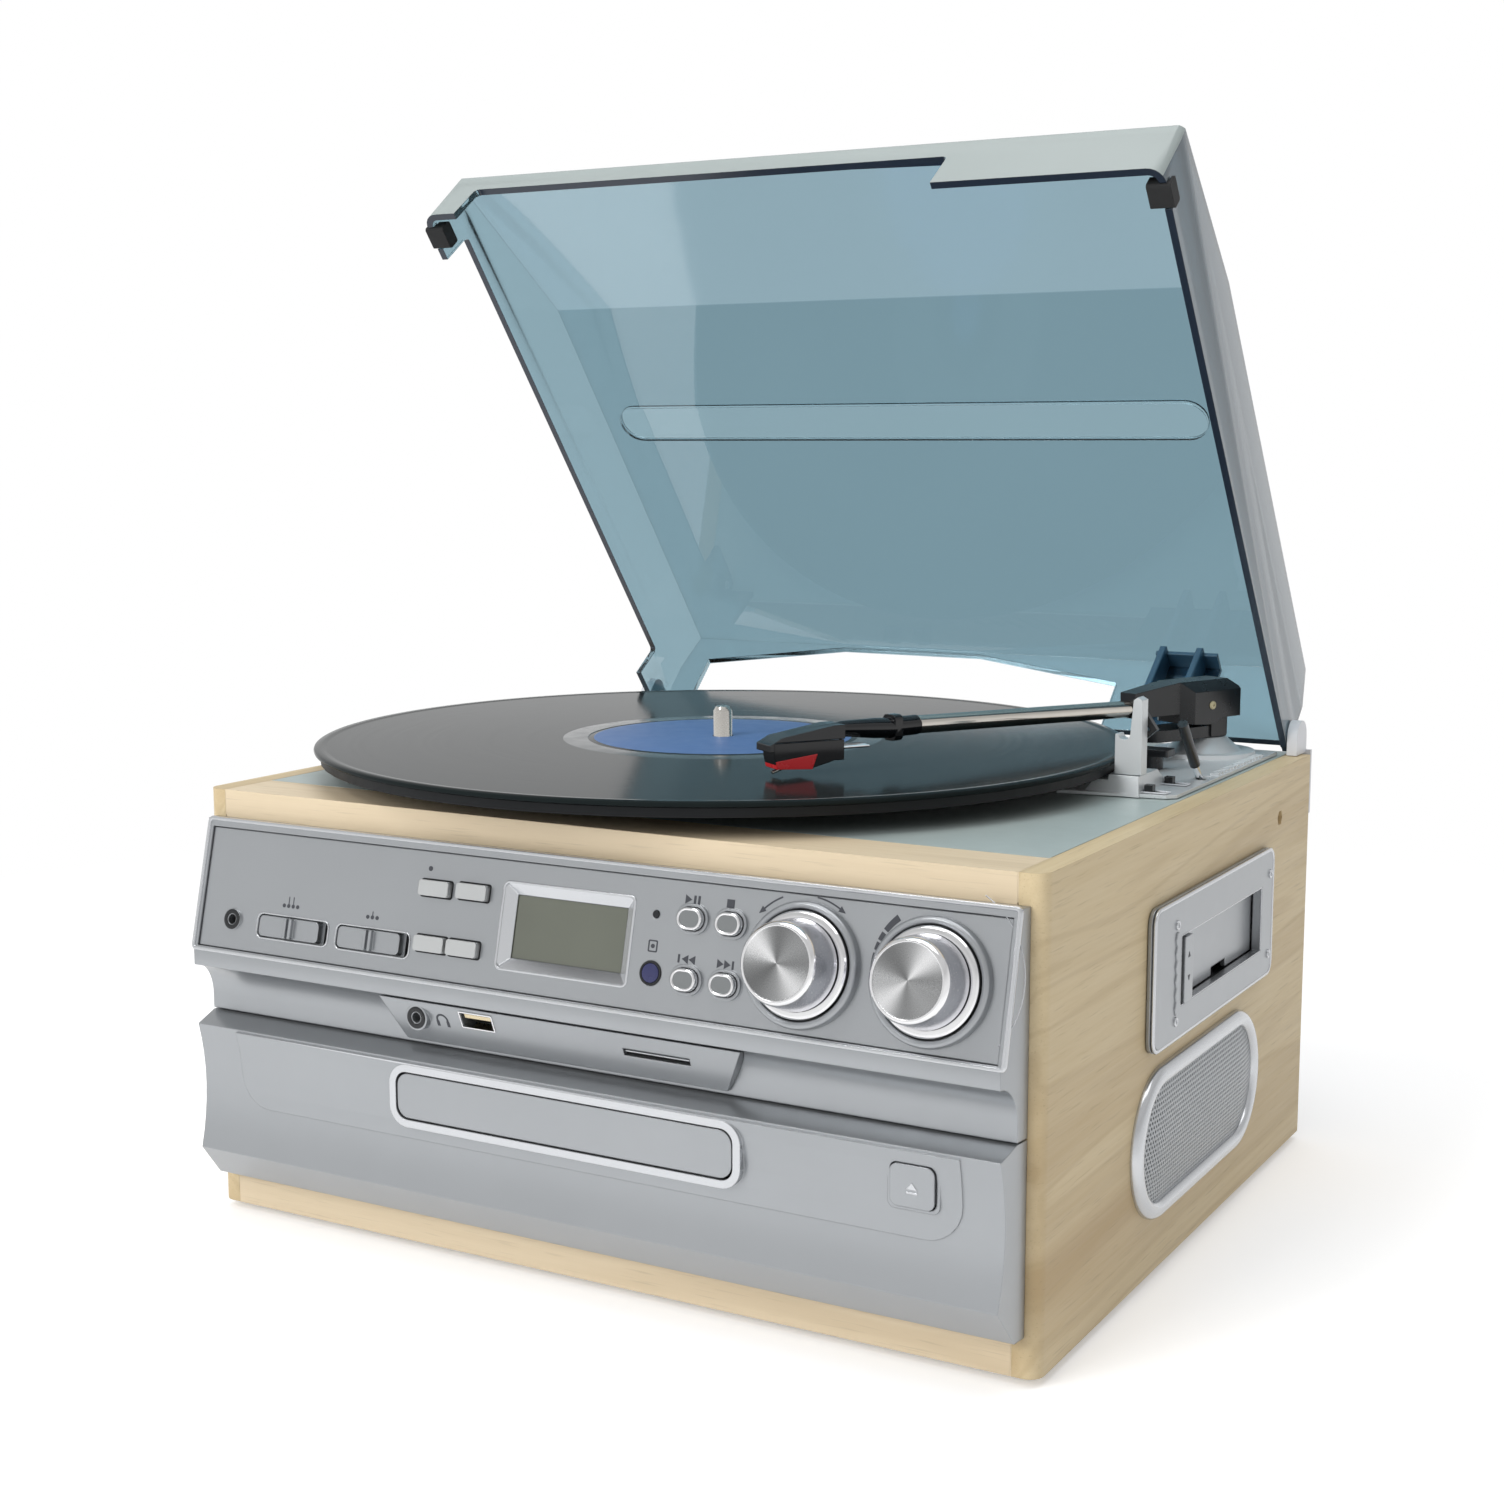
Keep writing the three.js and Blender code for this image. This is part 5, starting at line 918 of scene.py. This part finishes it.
def remote_eye():
    piece("remote_lens", *lathe(LENS, 48), lens_blue, "cabinet", "display", on_face(REMOTE_AT))
    piece("remote_rim", *lathe(LENS_COLLAR, 48), black_and_gap_shade, "cabinet", "black_plastic", on_face(REMOTE_AT))
    outline = rect_ring(around(*REMOTE_MARK_AT, 3.4, 3.8), 0.5, PRINTED_FRAME)
    piece("remote_mark", *outline, print_grey, "cabinet", "black_plastic", FACE)
    mark("remote_mark_dot", [disc_loop(*REMOTE_MARK_AT, 0.7, 12)])


def panel_rims():
    """The rims round the sliders, the panel and its display, and the painted shade round the square keys."""
    for name, (x, y) in SLIDER_AT.items():
        trim(f"{name}_rim", rect_ring(around(x, y, *SLIDER_RIM_SIZE), SLIDER_RIM_R, BEAD), FACE)
    for name, (x, y) in WELL_AT.items():
        # Painted shade: a dark strip where the gap round each key lies in shade.
        well = rect_ring(around(x, y, *WELL_SIZE), WELL_R, KEY_WELL_SHADE)
        piece(f"{name}_well", *well, black_and_gap_shade, "cabinet", "black_plastic", FACE)
    # The panel's edging is a moulding whose brighter silver is partly a painted highlight along the panel's
    # edge.
    trim("panel_edging", rect_ring(PANEL_BOX, PANEL_R, PANEL_EDGING), FACE)
    trim("lcd_rim", rect_ring(LCD_BOX, LCD_R, LCD_RIM), FACE)


def control_marks():
    for name, (x, y) in KEY_AT.items():
        rim = rect_ring(around(x, y, *KEY_RIM_SIZE), KEY_RIM_R, KEY_RIM)
        piece(f"{name}_rim", *rim, chromed, f"{name}_button", "chromed", FACE)
    play_icons()
    dial_marks()
    slider_marks()
    mark("rec_dot", [disc_loop(*REC_DOT_AT, 0.85, 16)])
    remote_eye()
    mark("power_lamp", [disc_loop(*POWER_LAMP_AT, 1.15, 20)], gloss_black, FACE, 0.25)
    piece("aux_ring", *lathe(AUX_RING, 48), black_plastic, "cabinet", "black_plastic", on_face(AUX_AT))
    panel_rims()


# Sockets below the control face, and the eject key
PHONES_AT = (-57.9, -147.8, 84.3)
PHONES_RING = [(3.75, -0.1), (3.65, 0.25), (3.2, 0.35), (2.3, 0.25), (1.9, -0.1)]
PHONES_MARK_AT = (-48.2, 10.0)
USB_AT, USB_SIZE, USB_R = (-33.5, 11.7), (13.6, 6.6), 0.5
USB_SHELL = [(0, -0.3), (0, 0.35), (0.5, 0.35), (0.55, -3.0)]
USB_TONGUE = (-38.8, -28.2, 11.9, 13.6)
CARD_CONTACTS = (23.4, 47.0, 8.9, 9.4)
EJECT_AT = (125.6, -149.9, 58.4)
EJECT_WEDGE = [(-1.9, -1.0), (1.9, -1.0), (0, 1.3)]
EJECT_BAR = box_loop(-1.9, 1.9, -2.3, -1.6)


def port_marks():
    socket = lathe(PHONES_RING, 48)
    piece("phones_ring", *socket, black_plastic, "cabinet", "black_plastic", facing_front(*PHONES_AT))
    x, y = PHONES_MARK_AT
    pads = [box_loop(x - 2.6, x - 1.5, y - 2.6, y - 0.4), box_loop(x + 1.5, x + 2.6, y - 2.6, y - 0.4)]
    mark("phones_mark", [arc_band(x, y, 2.1, 0.7, -12, 192, 20)] + pads, plane=PORT)
    shell = rect_ring(around(*USB_AT, *USB_SIZE), USB_R, USB_SHELL, False)
    piece("usb_shell", *shell, chromed, "cabinet", "chromed", PORT)
    tongue = prism(box_loop(*USB_TONGUE), -6.0, -0.6, 0.2)
    piece("usb_tongue", *tongue, brass, "cabinet", "brass", PORT)
    button = facing_front(*EJECT_AT)
    icon = [prism(loop, -0.02, 0.14) for loop in (EJECT_WEDGE, EJECT_BAR)]
    piece("eject_mark", *join(*icon), bright_silver, "eject_button", "silver_plastic", button)
    trim("card_contacts", prism(box_loop(*CARD_CONTACTS), -2.4, -0.5, 0.1), PORT)


# Tonearm and deck: lengths along the arm from its pivot, and heights
GUARD = [(195.8, 166.0), (208.9, 166.7), (209.3, 169.2), (193.9, 171.0)]
GUARD_HALF = 4.5
PIN_H, PIN_R, PIN_STEP, PIN_FROM, PIN_TO = 172.4, 0.5, 2.2, 174.0, 184.2
SCREW_AT = (9.5, -6.3, 173.6)
ARM_SCREW = [(1.6, -0.1), (1.6, 0.4), (1.2, 0.7), (0.5, 0.75), (0.35, 0.3), (0, 0.3)]
SLOT_X, SLOT_Y = 141.55, {"speed": 8.3, "stop": 29.0}
SLOT_SIZE, SLOT_R = (9.8, 5.6), 0.8
SLOT_RIM = [(0, -0.05), (0.05, 0.3), (0.5, 0.35), (0.85, 0.2), (0.9, -0.3)]


def arm_details():
    side = HEAD @ axes((0, -1, 0), (0, 0, 1), (-1, 0, 0), (0, 0, 0))
    guard = prism(GUARD, -GUARD_HALF, GUARD_HALF, 0.25)
    piece("stylus_guard", *guard, red_plastic, "tonearm", "red_plastic", side)
    pins = [prism(disc_loop(PIN_STEP * (i - 1.5), PIN_H, PIN_R, 10), PIN_FROM, PIN_TO, 0.15) for i in range(4)]
    piece("head_pins", *join(*pins), chromed, "tonearm", "chromed", HEAD @ facing_front())
    flank = ARM @ axes((0, 1, 0), (0, 0, 1), (1, 0, 0), SCREW_AT)
    piece("housing_screw", *lathe(ARM_SCREW, 32), cream, "tonearm", "brass", flank)
    for name, y in SLOT_Y.items():
        rim = rect_ring(around(SLOT_X, y, *SLOT_SIZE), SLOT_R, SLOT_RIM)
        piece(f"{name}_slot_rim", *rim, pale_plastic, "cabinet", "plate_plastic", PLATE)


# The clip inside the cover's back wall: across, from the hinge towards the top sheet, and off the wall
CLIP_LEFT, CLIP_RIGHT, CLIP_LOW, CLIP_TOP = 88.5, 114.5, 3.0, 37.4
CLIP_BACK, CLIP_FACE, CLIP_SHELF = -3.8, -1.6, 7.0
FIN_X, FIN_W, FIN_DEEP, FIN_LAP = (90.5, 106.0), 2.8, 10.0, 0.3


def hood_bracket():
    plate = prism(box_loop(CLIP_LEFT, CLIP_RIGHT, CLIP_LOW, CLIP_TOP), CLIP_BACK, CLIP_FACE, 0.3)
    shelf = prism(box_loop(CLIP_LEFT, CLIP_RIGHT, CLIP_TOP - 1.8, CLIP_TOP), CLIP_FACE, CLIP_SHELF)
    fins = [prism(box_loop(x, x + FIN_W, CLIP_LOW, CLIP_TOP + 0.1), CLIP_FACE - FIN_LAP, FIN_DEEP, 0.4)
            for x in FIN_X]
    clip = join(plate, shelf, *fins)
    piece("hood_clip", *clip, clip_blue, "hood", "smoked_acrylic", HOOD @ facing_front())


# Seams between the boards: half width, front, and the two stretches' ends and heights
SEAM_X, SEAM_HALF, SEAM_FRONT = 151.35, 0.2, -134.97
SEAM_UPPER, SEAM_LOWER = (-110.0, 143.0, 151.97), (-128.0, 0.03, 12.8)


def wood_seams():
    """Thin strips that close the joints between the boards."""
    for name, x in (("left", -SEAM_X), ("right", SEAM_X)):
        parts = [prism(box_loop(x - SEAM_HALF, x + SEAM_HALF, SEAM_FRONT, back), low, high)
                 for back, low, high in (SEAM_UPPER, SEAM_LOWER)]
        piece(f"wood_joint_{name}", *join(*parts), wood_rail, "cabinet", "wood", Matrix())


# Cassette plate: places are towards the back and up, on the right board
CASSETTE_BOX, CASSETTE_R = (-49.1, 81.1, 76.9, 125.1), 5.1
CASSETTE_RIM = [(0.0, 2.2), (0.1, 2.75), (0.6, 3.05), (1.2, 3.0), (1.7, 2.45)]
PLATE_SCREWS = ((-27.5, 116.4), (-27.5, 83.8), (76.0, 115.4), (76.0, 85.2))
PLATE_SCREW = [(1.7, 2.3), (1.65, 3.3), (1.2, 3.5), (0.7, 3.3), (0.6, 2.6), (0, 2.6)]
STRIP_FRONT, STRIP_BACK, STRIP_LOW, STRIP_TOP = -28.6, -26.6, 86.0, 114.0
STRIP_WAVE, STRIP_STEPS = 0.5, 24
OPENING_BOX, OPENING_R = (-23.0, 67.2, 87.8, 112.2), 0.8
OPENING_EDGE = [(0.0, 2.3), (0.05, 2.75), (0.5, 2.8), (0.55, 2.3)]
KEY_ARROW_X = -16.4


def cassette_details():
    trim("cassette_rim", rect_ring(CASSETTE_BOX, CASSETTE_R, CASSETTE_RIM), RIGHT)
    screws = []
    for y, z in PLATE_SCREWS:
        verts, faces = lathe(PLATE_SCREW, 24)
        screws.append(([(u + y, v + z, h) for u, v, h in verts], faces))
    trim("cassette_screws", join(*screws), RIGHT)
    strip = []
    for i in range(STRIP_STEPS + 1):
        z = STRIP_TOP - (STRIP_TOP - STRIP_LOW) * i / STRIP_STEPS
        strip.append((STRIP_FRONT + STRIP_WAVE * math.cos(i * math.pi / 2), z))
    strip += [(STRIP_BACK, STRIP_LOW), (STRIP_BACK, STRIP_TOP)]
    piece("cassette_strip", *prism(strip, 2.3, 3.3, 0.2), silver_plastic, "cabinet", "silver_plastic", RIGHT)
    arrows = []
    for z, way in ((104.5, 1), (96.5, -1)):
        base, tip = z - 0.9 * way, z + 0.9 * way
        loop = [(KEY_ARROW_X - 1.0, base), (KEY_ARROW_X + 1.0, base), (KEY_ARROW_X, tip)]
        arrows.append(prism(loop[::way], 3.36, 3.5))
    piece("cassette_key_arrows", *join(*arrows), print_grey, "cassette_key", "black_plastic", RIGHT)
    trim("cassette_opening_edge", rect_ring(OPENING_BOX, OPENING_R, OPENING_EDGE), RIGHT)


def build():
    dress_nodes()
    record()
    knob("tuning", TUNING_AT, spun_painted_glint)
    knob("volume", VOLUME_AT, spun_painted_lit)
    speaker("right", RIGHT, 1)
    speaker("left", LEFT, -1)
    control_marks()
    port_marks()
    arm_details()
    hood_bracket()
    wood_seams()
    cassette_details()


# Floor, lights and camera: metres and watts
FLOOR_HALF = 6.0
FLOOR_DARK, FLOOR_LIGHT = (0.90, 0.90, 0.905, 1), (0.92, 0.92, 0.925, 1)
FLOOR_LIFT = 0.3
FLOOR_FADE = (0.3, 0.75)
SOFT_LIGHT = 0.51
# What glossy rays see of the sky: sine of the height, grey
MIRRORED_SKY = ((0.0, 1.0), (0.2, 0.88), (0.45, 0.62), (0.75, 0.72), (1.0, 0.6))
AIM = Vector((0, 0, 0.1))
# Name, place, width, height, power, seen in reflections
LAMPS = (
    ("key", (-0.7, -2.0, 0.95), 1.1, 0.9, 23, False),
    ("glint", (-0.6, -1.3, 1.6), 0.5, 0.5, 7, True),
    ("top", (0.1, 0.1, 2.0), 1.6, 1.6, 14, True),
)
CAMERA_AT = (0.39470, -0.70494, 0.27840)
CAMERA_TURN, CAMERA_DIP, CAMERA_ROLL = 0.5204, 0.1438, -0.002
CAMERA_LENS, CAMERA_SENSOR = 52.2, 36.0


def studio_floor():
    """A pale floor that keeps the shadow and fades to white further out."""
    mesh = bpy.data.meshes.new("floor")
    corners = [(x * FLOOR_HALF, y * FLOOR_HALF, 0) for x, y in ((-1, -1), (1, -1), (1, 1), (-1, 1))]
    mesh.from_pydata(corners, [], [(0, 1, 2, 3)])
    floor = new_object("floor", mesh)
    n = Nodes("floor_white")
    tone = n.ramp(n.noise(3, 2.0), [(0.3, FLOOR_DARK), (0.7, FLOOR_LIGHT)])
    n.put(Base_Color=tone, Roughness=0.9, Specular_IOR_Level=0.0)
    lift = n.add("ShaderNodeEmission")
    path = n.add("ShaderNodeLightPath")
    seen = n.math("MAXIMUM", path.outputs["Is Camera Ray"], path.outputs["Is Glossy Ray"])
    seen = n.math("MAXIMUM", seen, path.outputs["Is Transmission Ray"])
    n.link(n.math("MULTIPLY", seen, FLOOR_LIFT), lift.inputs["Strength"])
    both = n.add("ShaderNodeAddShader")
    n.link(n.bsdf.outputs[0], both.inputs[0])
    n.link(lift.outputs[0], both.inputs[1])
    distance = n.add("ShaderNodeVectorMath", operation="LENGTH")
    n.link(n.coord, distance.inputs[0])
    far = n.span(distance.outputs["Value"], 0.0, 1.0, *FLOOR_FADE)
    plain = n.add("ShaderNodeEmission")
    fade = n.add("ShaderNodeMixShader")
    n.link(n.math("MULTIPLY", far, seen), fade.inputs[0])
    n.link(both.outputs[0], fade.inputs[1])
    n.link(plain.outputs[0], fade.inputs[2])
    n.link(fade.outputs[0], n.out.inputs["Surface"])
    mesh.materials.append(n.material)


def studio_world():
    """Even light, a graded sky for reflections, and plain white behind the object."""
    world = bpy.data.worlds.new("studio")
    bpy.context.scene.world = world
    world.use_nodes = True
    nodes = world.node_tree.nodes
    add, link = nodes.new, world.node_tree.links.new
    path = add("ShaderNodeLightPath").outputs

    def mixed(factor, a, b):
        node = add("ShaderNodeMixShader")
        for socket, value in zip(node.inputs, (factor, a, b)):
            link(value, socket)
        return node.outputs[0]

    soft, mirrored, plain = nodes["Background"], add("ShaderNodeBackground"), add("ShaderNodeBackground")
    for node, strength in ((soft, SOFT_LIGHT), (mirrored, 1.0), (plain, 1.0)):
        node.inputs["Color"].default_value = (1.0, 1.0, 1.0, 1)
        node.inputs["Strength"].default_value = strength
    split = add("ShaderNodeSeparateXYZ")
    link(add("ShaderNodeTexCoord").outputs["Generated"], split.inputs[0])
    sky = add("ShaderNodeValToRGB")
    fill_ramp(sky, [(place, (grey, grey, grey, 1)) for place, grey in MIRRORED_SKY])
    link(split.outputs["Z"], sky.inputs["Fac"])
    link(sky.outputs["Color"], mirrored.inputs["Color"])
    seen = new_node(world.node_tree, "ShaderNodeMath", operation="MAXIMUM")
    link(path["Is Camera Ray"], seen.inputs[0])
    link(path["Is Transmission Ray"], seen.inputs[1])
    lit = mixed(path["Is Glossy Ray"], soft.outputs[0], mirrored.outputs[0])
    shown = mixed(seen.outputs[0], lit, plain.outputs[0])
    link(shown, nodes["World Output"].inputs["Surface"])


def studio_lamps():
    for name, place, width, height, power, mirrored in LAMPS:
        light = bpy.data.lights.new(name, "AREA")
        light.shape = "RECTANGLE"
        light.size = width
        light.size_y = height
        light.energy = power
        obj = new_object(name, light)
        way = AIM - Vector(place)
        obj.matrix_world = Matrix.Translation(place) @ way.to_track_quat("-Z", "Y").to_matrix().to_4x4()
        obj.visible_camera = False
        obj.visible_glossy = mirrored


def camera():
    data = bpy.data.cameras.new("camera")
    data.sensor_width = CAMERA_SENSOR
    data.lens = CAMERA_LENS
    data.clip_start = 0.01
    obj = new_object("camera", data)
    turn = Matrix.Rotation(CAMERA_TURN, 4, "Z") @ Matrix.Rotation(math.pi / 2 - CAMERA_DIP, 4, "X")
    obj.matrix_world = Matrix.Translation(CAMERA_AT) @ turn @ Matrix.Rotation(CAMERA_ROLL, 4, "Z")
    bpy.context.scene.camera = obj
    bpy.context.scene.view_settings.view_transform = "Standard"


camera()
build()
studio_floor()
studio_world()
studio_lamps()
